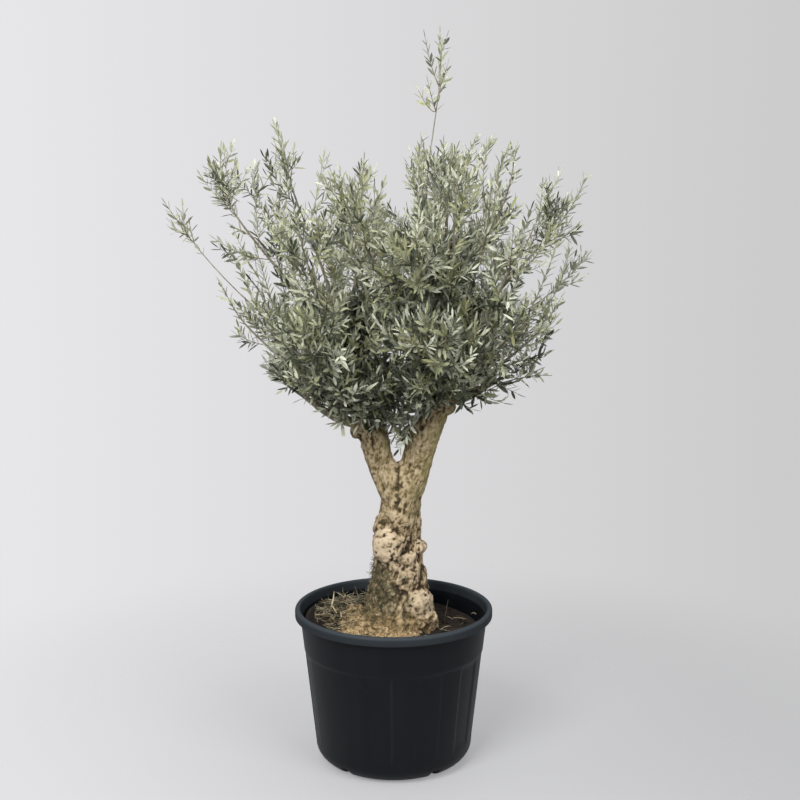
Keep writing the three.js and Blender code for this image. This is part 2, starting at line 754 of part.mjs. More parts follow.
function buildTree() {
  const limbs = layOutWood();
  const boughs = growBoughs(limbs);
  const masses = listMasses();
  growStems(masses, boughs);

  const { trunk, ...upperLimbs } = limbs;
  const stubs = [limbs.limb_left, limbs.limb_right].map((limb) => flutedSolid(limb, 0, limb.from, 0));
  const wholeTrunk = joined([...woodSolids(trunk, 0), ...stubs]);
  const trunkSolid = mainBody(wholeTrunk.trimByPlane([0, 0, 1], TRUNK_CUT));
  const trunkRoom = joined(woodSolids(trunk, 2 * GAP)).trimByPlane([0, 0, 1], TRUNK_CUT - GAP);

  const tree = new THREE.Group();
  tree.add(node("pot", potSolid(), COLOURS.pot));
  tree.add(node("soil", soilSolid(trunkRoom), COLOURS.soil));
  tree.add(node("trunk", trunkSolid, COLOURS.bark));
  for (const [name, limb] of Object.entries(upperLimbs)) {
    const collars = boughs.filter((bough) => bough.carrier === name && !bough.onTip);
    const solids = [...woodSolids(limb, 0), ...collars.map((bough) => collarSolid(bough, BOUGH.sides))];
    tree.add(node(name, mainBody(joined(solids)), COLOURS.bark));
  }
  for (const bough of boughs) {
    const collars = masses.filter((mass) => mass.bough === bough && !mass.onTip);
    const solids = [shootSolid(bough, BOUGH), ...collars.map((mass) => collarSolid(mass, STEM.sides))];
    tree.add(node(bough.name, mainBody(joined(solids)), COLOURS.young));
  }
  const wood = [...Object.values(limbs), ...boughs];
  for (const mass of masses) {
    const others = [...wood, ...masses.filter((other) => other !== mass)];
    const solid = massSolid(mass, masses, others.flatMap((other) => other.spine));
    tree.add(node(mass.name, solid, COLOURS.foliage));
  }
  return tree;
}

export default buildTree();
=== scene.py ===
"""A potted olive tree, dressed: an old gnarled trunk with two pruned limbs, an open crown of narrow
grey-green leaves and a black nursery container with its root ball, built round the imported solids.

The plant is laid out in millimetres, as it was measured, with the same rule of growth as the solids, carried
on to finer twigs. Meshes are made in metres. +Z is up, -Y is the front and the origin is the centre of the
pot's underside. A bearing of 0 is right, 90 back, 180 left and 270 front. A tilt is measured from upright.
"""

import logging
from abc import ABC, abstractmethod
from dataclasses import dataclass, field
from enum import Enum
from itertools import accumulate
from math import atan2, ceil, cos, degrees, exp, hypot, radians, sin, sqrt, tau
from typing import Any, Iterable, Sequence, Union

import bmesh
import bpy
import numpy as np
from mathutils import Matrix, Vector, noise


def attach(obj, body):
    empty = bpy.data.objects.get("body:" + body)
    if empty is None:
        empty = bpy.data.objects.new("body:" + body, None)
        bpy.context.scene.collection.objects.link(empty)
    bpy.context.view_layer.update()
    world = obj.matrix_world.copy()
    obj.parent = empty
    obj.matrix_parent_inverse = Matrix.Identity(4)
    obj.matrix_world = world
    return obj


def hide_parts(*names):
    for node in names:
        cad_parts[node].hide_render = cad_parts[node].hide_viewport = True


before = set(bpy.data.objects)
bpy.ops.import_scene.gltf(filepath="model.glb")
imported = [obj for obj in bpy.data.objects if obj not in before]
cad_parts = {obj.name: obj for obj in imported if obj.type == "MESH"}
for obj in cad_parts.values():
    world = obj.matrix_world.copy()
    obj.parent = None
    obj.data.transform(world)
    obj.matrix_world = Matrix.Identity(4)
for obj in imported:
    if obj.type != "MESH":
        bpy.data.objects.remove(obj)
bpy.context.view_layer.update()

LOG = logging.getLogger("olive")
BODY = "root"
MM = 0.001
UP = Vector((0.0, 0.0, 1.0))
GOLDEN_ANGLE = 137.5
NEARLY_UPRIGHT = 0.05

Pair = tuple[float, float]
Triple = tuple[float, float, float]
Colour = Triple
Stations = tuple[tuple[float, float, float, float], ...]
Spray = tuple[float, Triple, Triple]


def lerp(low: float, high: float, share: float) -> float:
    """A value part of the way from low to high."""
    return low + (high - low) * share


def smooth(low: float, high: float, value: float) -> float:
    """0 below low, 1 above high and a smooth ramp between."""
    share = min(max((value - low) / (high - low), 0.0), 1.0)
    return share * share * (3 - 2 * share)


class Draws:
    """A seeded stream of numbers between 0 and 1, the same in every run."""

    WORD = 0xFFFFFFFF
    STEP = 0x6D2B79F5

    def __init__(self, seed: int) -> None:
        """Starts the stream at a seed."""
        self.state = seed & self.WORD

    def __call__(self) -> float:
        """The next number of the stream.

        Returns:
            A number from 0 up to 1.
        """
        self.state = (self.state + self.STEP) & self.WORD
        word = self.state
        word = ((word ^ (word >> 15)) * (word | 1)) & self.WORD
        word ^= (word + (((word ^ (word >> 7)) * (word | 61)) & self.WORD)) & self.WORD
        return (word ^ (word >> 14)) / (self.WORD + 1)

    def between(self, low: float, high: float) -> float:
        """The next number, scaled to lie between low and high."""
        return lerp(low, high, self())


# Directions and lines that limbs and shoots follow


def heading(bearing: float, tilt: float) -> Vector:
    """The unit direction of a bearing and a tilt in degrees."""
    b, t = radians(bearing), radians(tilt)
    return Vector((sin(t) * cos(b), sin(t) * sin(b), cos(t)))


def branching(line: Vector, opening: float, turn: float) -> Vector:
    """The direction that opens by an angle from a line, turned about that line.

    Args:
        line: The unit direction that is left.
        opening: The angle from the line, in degrees.
        turn: The angle round the line, in degrees.

    Returns:
        A unit direction.
    """
    side = line.cross(UP)
    side = Vector((1.0, 0.0, 0.0)) if side.length < NEARLY_UPRIGHT else side.normalized()
    over = side.cross(line).normalized()
    turned, opened = radians(turn), radians(opening)
    across = side * cos(turned) + over * sin(turned)
    return line * cos(opened) + across * sin(opened)


class Path(ABC):
    """A line through space, in millimetres."""

    STEP = 0.002

    @abstractmethod
    def point(self, share: float) -> Vector:
        """The place at a share of the line, from 0 at its root to 1 at its tip."""

    def tangent(self, share: float) -> Vector:
        """The unit direction of the line at a share of it."""
        before, after = max(share - self.STEP, 0.0), min(share + self.STEP, 1.0)
        return (self.point(after) - self.point(before)).normalized()


class StationPath(Path):
    """A smooth line through stations: a centripetal spline, so that it doesn't overshoot between them."""

    def __init__(self, places: Sequence[Vector]) -> None:
        """Keeps the stations, with one more past either end."""
        self.places = [places[0] * 2 - places[1], *places, places[-1] * 2 - places[-2]]

    def point(self, share: float) -> Vector:
        """The place at a share of the line.

        Args:
            share: From 0 at the first station to 1 at the last, each stretch having an even part of it.

        Returns:
            The place, in millimetres.
        """
        stretches = len(self.places) - 3
        at = min(max(share, 0.0), 1.0) * stretches
        first = min(int(at), stretches - 1)
        w = at - first
        p0, p1, p2, p3 = self.places[first : first + 4]
        d0, d1, d2 = (sqrt((b - a).length) for a, b in ((p0, p1), (p1, p2), (p2, p3)))
        leave = ((p1 - p0) / d0 - (p2 - p0) / (d0 + d1) + (p2 - p1) / d1) * d1
        arrive = ((p2 - p1) / d1 - (p3 - p1) / (d1 + d2) + (p3 - p2) / d2) * d1
        square = p1 * -3 + p2 * 3 - leave * 2 - arrive
        cube = p1 * 2 - p2 * 2 + leave + arrive
        return p1 + leave * w + square * w**2 + cube * w**3


class SprungPath(Path):
    """A line that springs from a point along one direction and arrives at another along a second."""

    def __init__(self, start: Vector, leave: Vector, end: Vector, arrive: Vector, spring: float) -> None:
        """Sets the curve's ends and its handles, each as long as the spring's share of the way."""
        reach = (end - start).length * spring
        self.handles = (start, start + leave * reach, end - arrive * reach, end)

    def point(self, share: float) -> Vector:
        """The place at a share of the line, in millimetres."""
        (a, b, c, d), rest = self.handles, 1 - share
        return a * rest**3 + b * (3 * share * rest**2) + c * (3 * share**2 * rest) + d * share**3


@dataclass
class Limb:
    """A tapering limb or shoot: its line, and its radius at even shares of that."""

    path: Path
    radii: tuple[float, ...]

    @classmethod
    def through(cls, stations: Stations) -> "Limb":
        """A limb through stations, each a place and a radius."""
        return cls(StationPath([Vector(station[:3]) for station in stations]), tuple(s[3] for s in stations))

    def radius(self, share: float) -> float:
        """The radius at a share of the line."""
        return float(np.interp(share, np.linspace(0, 1, len(self.radii)), self.radii))

    def stretches(self, count: int) -> list[tuple[Vector, Vector, float]]:
        """The limb as a number of straight stretches: the start, the end and the first radius of each."""
        ends = [(self.path.point(i / count), self.radius(i / count)) for i in range(count + 1)]
        return [(start, end, radius) for (start, radius), (end, _) in zip(ends, ends[1:])]


@dataclass(frozen=True)
class Habit:
    """How a shoot leaves its carrier: its least angle, the spring of its line and the lift of its tip."""

    opening: float
    spring: float
    lift: float


def bent(start: Vector, way: Vector, length: float, lift: float) -> tuple[Vector, Vector]:
    """The bend and the tip of a shoot that sets out along a direction and then lifts."""
    return start + way * length * 0.5, start + way * length + UP * length * lift


def grow_shoot(carrier: Limb, at: float, end: Vector, habit: Habit, radii: tuple[float, ...]) -> Limb:
    """A shoot that leaves its carrier's side at an angle, or grows on from its tip, and ends at a point.

    Args:
        carrier: The limb that it grows from.
        at: The share of the carrier's line at which it leaves.
        end: Where its tip is.
        habit: How it leaves and arrives.
        radii: Its radii at even shares.

    Returns:
        The shoot.
    """
    line = carrier.path.tangent(at)
    start = carrier.path.point(at)
    way = (end - start).normalized()
    away = (way - line * way.dot(line)).normalized()
    opened = max(radians(habit.opening), way.angle(line))
    leave = line if at == 1 else line * cos(opened) + away * sin(opened)
    arrive = (way + UP * habit.lift).normalized()
    return Limb(SprungPath(start, leave, end, arrive, habit.spring), radii)


# Shader maths: a surface value behaves as a number does


Operand = Union["Field", float]


class Field:
    """A value that varies over a surface. Python's operators on it add the shader's own maths."""

    def __init__(self, graph: "Graph", socket: bpy.types.NodeSocket) -> None:
        """Wraps an output socket of a graph."""
        self.graph = graph
        self.socket = socket

    def _maths(self, operation: str, first: Operand, second: Operand) -> "Field":
        """One step of maths on two values."""
        return self.graph.field("ShaderNodeMath", {"operation": operation}, {0: first, 1: second})

    def __add__(self, other: Operand) -> "Field":
        """Sum."""
        return self._maths("ADD", self, other)

    __radd__ = __add__

    def __sub__(self, other: Operand) -> "Field":
        """Difference."""
        return self._maths("SUBTRACT", self, other)

    def __rsub__(self, other: Operand) -> "Field":
        """Difference from a number."""
        return self._maths("SUBTRACT", other, self)

    def __mul__(self, other: Operand) -> "Field":
        """Product."""
        return self._maths("MULTIPLY", self, other)

    __rmul__ = __mul__

    def least(self, other: Operand) -> "Field":
        """The smaller of two values."""
        return self._maths("MINIMUM", self, other)

    def most(self, other: Operand) -> "Field":
        """The larger of two values."""
        return self._maths("MAXIMUM", self, other)

    def ramp(self, low: float, high: float) -> "Field":
        """0 at low, 1 at high and a smooth ramp between."""
        settings = {"interpolation_type": "SMOOTHSTEP"}
        return self.graph.field("ShaderNodeMapRange", settings, {0: self, 1: low, 2: high, 3: 0.0, 4: 1.0})


class Graph:
    """The nodes of a finish or of the backdrop, under construction."""

    def __init__(self, tree: bpy.types.NodeTree) -> None:
        """Starts with an empty tree."""
        self.tree = tree
        self.tree.nodes.clear()

    def join(self, node: bpy.types.Node, sockets: dict[Any, Any]) -> None:
        """Sets a node's inputs, or links them.

        Args:
            node: The node.
            sockets: A value, a Field or an output socket for each input, by its name or number.
        """
        for key, value in sockets.items():
            source = value.socket if isinstance(value, Field) else value
            if isinstance(source, bpy.types.NodeSocket):
                self.tree.links.new(source, node.inputs[key])
            else:
                node.inputs[key].default_value = source

    def node(self, kind: str, settings: dict[str, Any], sockets: dict[Any, Any]) -> bpy.types.Node:
        """Adds a node.

        Args:
            kind: The node's type.
            settings: Its own settings, set first. "stops" fills a colour ramp with (place, colour) pairs.
            sockets: What its inputs get.

        Returns:
            The node.
        """
        made = self.tree.nodes.new(kind)
        for name, value in settings.items():
            if name == "stops":
                stops = made.color_ramp.elements
                for _ in range(len(value) - len(stops)):
                    stops.new(1.0)
                for stop, (place, colour) in zip(stops, value):
                    stop.position, stop.color = place, (*colour, 1.0)
            else:
                setattr(made, name, value)
        self.join(made, sockets)
        return made

    def field(self, kind: str, settings: dict[str, Any], sockets: dict[Any, Any], output: Any = 0) -> Field:
        """Adds a node and wraps one of its outputs."""
        return Field(self, self.node(kind, settings, sockets).outputs[output])

    def place(self, stretch: Colour = (1.0, 1.0, 1.0)) -> Field:
        """The place on the piece as a vector, in metres, with each axis stretched."""
        own = self.node("ShaderNodeTexCoord", {}, {}).outputs["Object"]
        return self.field("ShaderNodeMapping", {}, {"Vector": own, "Scale": stretch})

    def part(self, vector: Field, axis: str) -> Field:
        """One axis of a vector, by its letter."""
        return self.field("ShaderNodeSeparateXYZ", {}, {0: vector}, axis)

    def vectors(self, operation: str, sockets: dict[Any, Any], output: Any = 0) -> Field:
        """One step of maths on vectors."""
        return self.field("ShaderNodeVectorMath", {"operation": operation}, sockets, output)

    def push(self, place: Field, scale: float) -> Field:
        """Soft noise round a place, as a vector with its middle at zero."""
        push = self.field("ShaderNodeTexNoise", {}, {"Vector": place, "Scale": scale, "Detail": 2.0}, "Color")
        return self.vectors("SUBTRACT", {0: push, 1: (0.5, 0.5, 0.5)})

    def drift(self, place: Field, scale: float, reach: float) -> Field:
        """A place pushed about by soft noise of a scale, so that patterns on it wander."""
        moved = self.vectors("SCALE", {0: self.push(place, scale), "Scale": reach})
        return self.vectors("ADD", {0: place, 1: moved})

    def noise(self, vector: Field, scale: float, detail: float = 4.0, rough: float = 0.55) -> Field:
        """Cloudy noise from 0 to 1."""
        sockets = {"Vector": vector, "Scale": scale, "Detail": detail, "Roughness": rough}
        return self.field("ShaderNodeTexNoise", {}, sockets)

    def cells(self, vector: Field, scale: float) -> Field:
        """The distance to the middle of the cell that a place lies in."""
        return self.field("ShaderNodeTexVoronoi", {}, {"Vector": vector, "Scale": scale}, "Distance")

    def attribute(self, name: str) -> Field:
        """A value kept on the mesh."""
        return self.field("ShaderNodeAttribute", {"attribute_name": name}, {}, "Fac")

    def tint(self, factor: Operand, low: Any, high: Any) -> bpy.types.NodeSocket:
        """A colour between two others, each a colour or a socket."""
        low, high = (end if isinstance(end, bpy.types.NodeSocket) else (*end, 1.0) for end in (low, high))
        return self.node("ShaderNodeMix", {"data_type": "RGBA"}, {0: factor, 6: low, 7: high}).outputs[2]


class Surface(Graph):
    """The shader of one finish, under construction."""

    def __init__(self, name: str, specular: float = 0.5) -> None:
        """Starts a material with its main shader.

        Args:
            name: The material's name.
            specular: How strongly it mirrors.
        """
        self.material = bpy.data.materials.new(name)
        self.material.use_nodes = True
        super().__init__(self.material.node_tree)
        self.shader = self.node("ShaderNodeBsdfPrincipled", {}, {"Specular IOR Level": specular})
        self.output = self.node("ShaderNodeOutputMaterial", {}, {"Surface": self.shader.outputs[0]})

    def finish(
        self, colour: bpy.types.NodeSocket, rough: Operand, height: Field | None = None, depth: float = 0.0
    ) -> bpy.types.Material:
        """Joins the finished colour, roughness and relief to the main shader.

        Args:
            colour: The socket with the colour.
            rough: The roughness.
            height: The fine relief, from 0 to 1.
            depth: How deep that relief is, in metres.

        Returns:
            The material.
        """
        sockets = {"Base Color": colour, "Roughness": rough}
        if height is not None:
            bump = self.node("ShaderNodeBump", {}, {"Height": height, "Distance": depth, "Strength": 1.0})
            sockets["Normal"] = bump.outputs[0]
        self.join(self.shader, sockets)
        return self.material


@dataclass(frozen=True)
class Finish(ABC):
    """A finish of one kind of surface."""

    name: str

    @abstractmethod
    def material(self) -> bpy.types.Material:
        """Makes the material."""


@dataclass(frozen=True)
class OldBark(Finish):
    """Dry old bark: worn, pale swellings over brown hollows, with moss at its foot and an olive film above.
    Its hollows, crevices and undersides are painted darker as painted shade.
    """

    # crevice and hollow are the dark ends of the relief tone: the bark's own darker hollows, deepened into
    # painted shade
    crevice: Colour = (0.030, 0.019, 0.009)
    hollow: Colour = (0.125, 0.082, 0.040)
    body: Colour = (0.39, 0.295, 0.17)
    crest: Colour = (0.60, 0.485, 0.32)
    burl: Colour = (0.68, 0.545, 0.38)
    film: Colour = (0.27, 0.235, 0.085)
    moss: Colour = (0.082, 0.076, 0.036)
    clay: Colour = (0.42, 0.29, 0.13)

    def material(self) -> bpy.types.Material:
        """Colours by the relief tone kept on the mesh, which holds painted shade in the hollows, crevices and
        undersides, broken up by fibres, blotches and dark specks.

        Returns:
            The material.
        """
        graph = Surface(self.name)
        own = graph.place()
        wandering = graph.drift(own, 40.0, 0.012)
        mottle = graph.noise(wandering, 75.0, 6.0, 0.68)
        fibres = graph.noise(graph.drift(graph.place((1.0, 1.0, 0.14)), 30.0, 0.006), 300.0, 4.0, 0.65)
        speckle = graph.noise(own, 480.0, 3.0, 0.6)
        specks = graph.cells(wandering, 120.0).ramp(0.26, 0.14) * graph.noise(own, 38.0, 2.0).ramp(0.44, 0.58)
        relief = graph.attribute("relief")
        tone = relief + (mottle - 0.5) * 1.05 + (fibres - 0.5) * 0.5 + (speckle - 0.5) * 0.4
        tone = tone.least(1.0).most(0.0)
        stops = ((0.06, self.crevice), (0.26, self.hollow), (0.56, self.body), (0.88, self.crest))
        bark = graph.node("ShaderNodeValToRGB", {"stops": stops}, {0: tone}).outputs[0]
        bark = graph.tint(graph.attribute("burl") * tone.ramp(0.2, 0.62) * 0.85, bark, self.burl)
        film = graph.attribute("film") * graph.noise(wandering, 22.0, 4.0, 0.6).ramp(0.34, 0.6)
        bark = graph.tint(film * 0.7, bark, self.film)
        moss = graph.attribute("moss") * mottle.ramp(0.36, 0.6)
        bark = graph.tint(moss * 0.92, bark, self.moss)
        bark = graph.tint(graph.attribute("clay") * mottle.ramp(0.3, 0.6) * 0.8, bark, self.clay)
        bark = graph.tint(specks * 0.3, bark, self.hollow)
        height = mottle * 0.5 + fibres * 0.25 + speckle * 0.2 + (1 - specks) * 0.25
        return graph.finish(bark, 0.96 - tone * 0.12, height, 0.0022)


@dataclass(frozen=True)
class YoungBark(Finish):
    """Smooth grey-brown bark of boughs, stems and twigs."""

    shade: Colour = (0.12, 0.10, 0.065)
    light: Colour = (0.33, 0.30, 0.22)
    film: Colour = (0.20, 0.19, 0.10)

    def material(self) -> bpy.types.Material:
        """Streaks along the limb, blotches and raised specks.

        Returns:
            The material.
        """
        graph = Surface(self.name)
        streaks = graph.noise(graph.place((1.0, 1.0, 0.25)), 160.0, 4.0, 0.6)
        blotches = graph.noise(graph.place(), 28.0, 3.0)
        specks = graph.cells(graph.place(), 300.0).ramp(0.05, 0.25)
        bark = graph.tint(streaks.ramp(0.32, 0.7), self.shade, self.light)
        bark = graph.tint(blotches.ramp(0.5, 0.68) * 0.6, bark, self.film)
        return graph.finish(bark, 0.8 + streaks * 0.12, streaks + specks * 0.4, 0.0008)


@dataclass(frozen=True)
class LeafFace(Finish):
    """One face of a leaf: waxy above, or felted and silvery below. Its base colour is dealt out by spray."""

    colour: Colour
    rough: float

    def material(self) -> bpy.types.Material:
        """A plain base colour with a faint mottle and a waxy unevenness.

        Returns:
            The material.
        """
        graph = Surface(self.name)
        mottle = graph.noise(graph.place(), 90.0, 3.0)
        darker = tuple(part * 0.82 for part in self.colour)
        lighter = tuple(min(part * 1.14, 1.0) for part in self.colour)
        colour = graph.tint(mottle.ramp(0.3, 0.7), darker, lighter)
        return graph.finish(colour, self.rough + (mottle - 0.5) * 0.2)


@dataclass(frozen=True)
class ContainerPlastic(Finish):
    """Black moulded plastic: slightly satin, with a fine grain, dust at its foot, a rim lightened partly by
    dust and partly by painted sheen, and painted highlights along the panels' edges.
    """

    colour: Colour = (0.0040, 0.0052, 0.0070)
    # A bluish grey for dust, also used for the painted sheen of the rim and the painted highlights of the
    # panels' edges
    dusty_sheen: Colour = (0.040, 0.050, 0.058)
    specular: float = 0.24

    def material(self) -> bpy.types.Material:
        """Grain, flow marks, dust at the foot, dust and painted sheen on the rim, and painted highlights
        along the panels' edges.

        Returns:
            The material.
        """
        graph = Surface(self.name, self.specular)
        own = graph.place()
        height = graph.part(own, "Z")
        grain = graph.noise(own, 900.0, 2.0, 0.5)
        flow = graph.noise(graph.place((1.0, 1.0, 0.18)), 22.0, 4.0, 0.6)
        scuffs = graph.noise(graph.drift(graph.place((1.0, 1.0, 3.0)), 9.0, 0.05), 60.0, 5.0, 0.7)
        worn = scuffs.ramp(0.58, 0.74)
        # The rim band and its top are lightened by height: part dust, part painted sheen for the light and
        # the reflection on the rolled lip
        rim = height.ramp(0.371, 0.374) * 0.48 + height.ramp(0.385, 0.394) * 0.52
        foot = 1 - height.ramp(0.0, 0.05)
        # The painted highlight along each panel's closing edge, read from the mesh
        edge_highlight = graph.attribute("dust") * 0.16
        dust = (flow.ramp(0.4, 0.8) * 0.05 + rim + foot * 0.12 * flow + worn * 0.07 + edge_highlight).least(1.0)
        colour = graph.tint(dust, self.colour, self.dusty_sheen)
        rough = 0.40 + dust * 0.3 + (grain - 0.5) * 0.12
        return graph.finish(colour, rough, grain * 0.5 + flow * 0.5, 0.0003)


@dataclass(frozen=True)
class RootBallSoil(Finish):
    """Dry ochre clay round the trunk, dark peat towards the right and the back, and litter on the left. The
    peat and the litter bed are darkened past their own colour as painted shade.
    """

    clay: Colour = (0.37, 0.245, 0.11)
    pale_clay: Colour = (0.68, 0.52, 0.30)
    # The peat and litter colours are nearly black: dark soil, darkened further as painted shade on the soil
    # and between the straws
    peat_and_shade: Colour = (0.010, 0.006, 0.004)
    crumb: Colour = (0.055, 0.033, 0.018)
    litter: Colour = (0.018, 0.012, 0.007)

    def material(self) -> bpy.types.Material:
        """The three soils by the shares kept on the mesh, with crumbs and grit.

        Returns:
            The material.
        """
        graph = Surface(self.name)
        own = graph.place()
        crumbs = graph.cells(graph.drift(own, 60.0, 0.006), 170.0)
        grit = graph.noise(own, 330.0, 5.0, 0.7)
        patches = graph.noise(own, 42.0, 4.0, 0.6)
        clay = graph.tint(grit.ramp(0.38, 0.66), self.clay, self.pale_clay)
        clay = graph.tint(crumbs.ramp(0.45, 0.9) * 0.5, clay, self.crumb)
        peat_and_shade = graph.tint((grit * 0.6 + patches * 0.4).ramp(0.45, 0.68), self.peat_and_shade, self.crumb)
        litter = graph.tint(patches.ramp(0.4, 0.62), self.peat_and_shade, self.litter)
        soil = graph.tint(graph.attribute("litter"), peat_and_shade, litter)
        edge = graph.attribute("clay") + (patches - 0.5) * 0.8
        soil = graph.tint(edge.ramp(0.36, 0.6), soil, clay)
        return graph.finish(soil, 1.0, grit * 0.6 + crumbs * 0.5, 0.004)


@dataclass(frozen=True)
class DryStraw(Finish):
    """Weathered straw, grass and leaf litter."""

    colour: Colour
    shade: Colour

    def material(self) -> bpy.types.Material:
        """Straw that is darker in patches.

        Returns:
            The material.
        """
        graph = Surface(self.name)
        patches = graph.noise(graph.place(), 75.0, 4.0, 0.6)
        colour = graph.tint(patches.ramp(0.35, 0.65), self.shade, self.colour)
        return graph.finish(colour, 0.75 + patches * 0.2)


# Making meshes


def in_scene(name: str, data: bpy.types.ID) -> bpy.types.Object:
    """Makes an object and puts it in the scene.

    Args:
        name: Its name.
        data: Its mesh, lamp or lens.

    Returns:
        The object.
    """
    made = bpy.data.objects.new(name, data)
    bpy.context.scene.collection.objects.link(made)
    return made


def in_place(name: str, mesh: bpy.types.Mesh, nodes: Sequence[str] = ()) -> None:
    """Makes a finished mesh a piece of the plant.

    Args:
        name: The piece's name.
        mesh: Its mesh, in metres and in its place.
        nodes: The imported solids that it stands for.
    """
    piece = in_scene(name, mesh)
    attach(piece, BODY)
    if nodes:
        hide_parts(*nodes)
    mesh.calc_loop_triangles()
    LOG.info("%s: %d triangles for %s", name, len(mesh.loop_triangles), ", ".join(nodes) or "no solid")


def mesh_of(bm: bmesh.types.BMesh, name: str, materials: Iterable[bpy.types.Material]) -> bpy.types.Mesh:
    """Turns a finished bmesh, in millimetres, into a smooth mesh in metres.

    Args:
        bm: The bmesh, which is freed.
        name: The mesh's name.
        materials: Its materials.

    Returns:
        The mesh.
    """
    bmesh.ops.scale(bm, vec=(MM, MM, MM), verts=bm.verts)
    mesh = bpy.data.meshes.new(name)
    bm.to_mesh(mesh)
    bm.free()
    for material in materials:
        mesh.materials.append(material)
    mesh.shade_smooth()
    return mesh


def spun(profile: Sequence[Pair], steps: int) -> bmesh.types.BMesh:
    """A closed round shape from a profile that starts and ends on the axis.

    Args:
        profile: Radius and height of each point, in millimetres.
        steps: The number of faces round it.

    Returns:
        The bmesh, with its faces pointing out.
    """
    bm = bmesh.new()
    points = [bm.verts.new((radius, 0.0, height)) for radius, height in profile]
    edges = [bm.edges.new(pair) for pair in zip(points, points[1:])]
    turn = {"cent": (0, 0, 0), "axis": (0, 0, 1), "angle": tau, "steps": steps, "use_merge": True}
    bmesh.ops.spin(bm, geom=[*points, *edges], **turn)
    bmesh.ops.remove_doubles(bm, verts=bm.verts, dist=1e-3)
    bmesh.ops.recalc_face_normals(bm, faces=bm.faces)
    return bm


def arc(centre: Pair, radii: Pair, start: float, end: float, steps: int) -> list[Pair]:
    """Points of an arc of an ellipse in a profile, from one angle in degrees to another."""
    angles = [radians(lerp(start, end, i / steps)) for i in range(steps + 1)]
    return [(centre[0] + radii[0] * cos(a), centre[1] + radii[1] * sin(a)) for a in angles]


def evenly(profile: Sequence[Pair], longest: float) -> list[Pair]:
    """A profile with its long stretches divided.

    Args:
        profile: Its points.
        longest: The longest stretch to leave.

    Returns:
        The points with the new ones among them.
    """
    points = [profile[0]]
    for (r0, z0), (r1, z1) in zip(profile, profile[1:]):
        parts = max(1, ceil(hypot(r1 - r0, z1 - z0) / longest))
        points += [(lerp(r0, r1, i / parts), lerp(z0, z1, i / parts)) for i in range(1, parts + 1)]
    return points


def extruded_limb(bm: bmesh.types.BMesh, limb: Limb, sides: int, steps: int, swell: Any) -> None:
    """Adds the closed body of a limb to a bmesh, one ring after another.

    Args:
        bm: The bmesh.
        limb: The limb.
        sides: The number of faces round it.
        steps: The number of rings along it.
        swell: The factor on its radius, from an angle and a share of the line.
    """
    middle = limb.path.tangent(0.5)
    reference = Vector((0, 1, 0)) if abs(middle.y) < 0.8 else Vector((1, 0, 0))
    ring = bmesh.ops.create_circle(bm, cap_ends=True, radius=1.0, segments=sides)["verts"]
    face = ring[0].link_faces[0]
    for step in range(steps + 1):
        if step:
            grown = bmesh.ops.extrude_face_region(bm, geom=[face])["geom"]
            face = next(item for item in grown if isinstance(item, bmesh.types.BMFace))
        share = step / steps
        centre, tangent = limb.path.point(share), limb.path.tangent(share)
        right = reference.cross(tangent).normalized()
        over = right.cross(tangent)
        for i, vertex in enumerate(face.verts):
            angle = tau * i / sides
            reach = limb.radius(share) * swell(angle, share)
            vertex.co = centre + (right * cos(angle) + over * sin(angle)) * reach


def fused(bm: bmesh.types.BMesh, voxel: float, relax: int) -> bmesh.types.BMesh:
    """The bodies of a bmesh, grown together into one even skin.

    Args:
        bm: Closed bodies that overlap, in millimetres. It is freed.
        voxel: The size of the new faces.
        relax: How often the new skin is smoothed.

    Returns:
        The skin, in millimetres.
    """
    bmesh.ops.recalc_face_normals(bm, faces=bm.faces)
    mesh = mesh_of(bm, "bodies", [])
    holder = in_scene("bodies", mesh)
    remesh = holder.modifiers.new("skin", "REMESH")
    remesh.mode = "VOXEL"
    remesh.voxel_size = voxel * MM
    graph = bpy.context.evaluated_depsgraph_get()
    skin = bmesh.new()
    skin.from_mesh(holder.evaluated_get(graph).data)
    bpy.data.objects.remove(holder)
    bpy.data.meshes.remove(mesh)
    bmesh.ops.scale(skin, vec=(1 / MM, 1 / MM, 1 / MM), verts=skin.verts)
    axes = {"use_axis_x": True, "use_axis_y": True, "use_axis_z": True}
    for _ in range(relax):
        bmesh.ops.smooth_vert(skin, verts=skin.verts, factor=0.5, **axes)
    skin.normal_update()
    return skin


def keep_values(mesh: bpy.types.Mesh, values: dict[str, Sequence[float]]) -> None:
    """Keeps named numbers for each point of a mesh, for its finish to read."""
    for name, kept in values.items():
        mesh.attributes.new(name, "FLOAT", "POINT").data.foreach_set("value", np.array(kept, np.float32))


def frames(along: np.ndarray) -> tuple[np.ndarray, np.ndarray]:
    """Two directions square to each of many.

    Args:
        along: Unit directions, one to a row.

    Returns:
        The two directions for each.
    """
    reference = np.where(np.abs(along[..., 2:3]) < 0.9, [[0.0, 0.0, 1.0]], [[1.0, 0.0, 0.0]])
    across = np.cross(along, reference)
    across /= np.linalg.norm(across, axis=-1, keepdims=True)
    return across, np.cross(across, along)


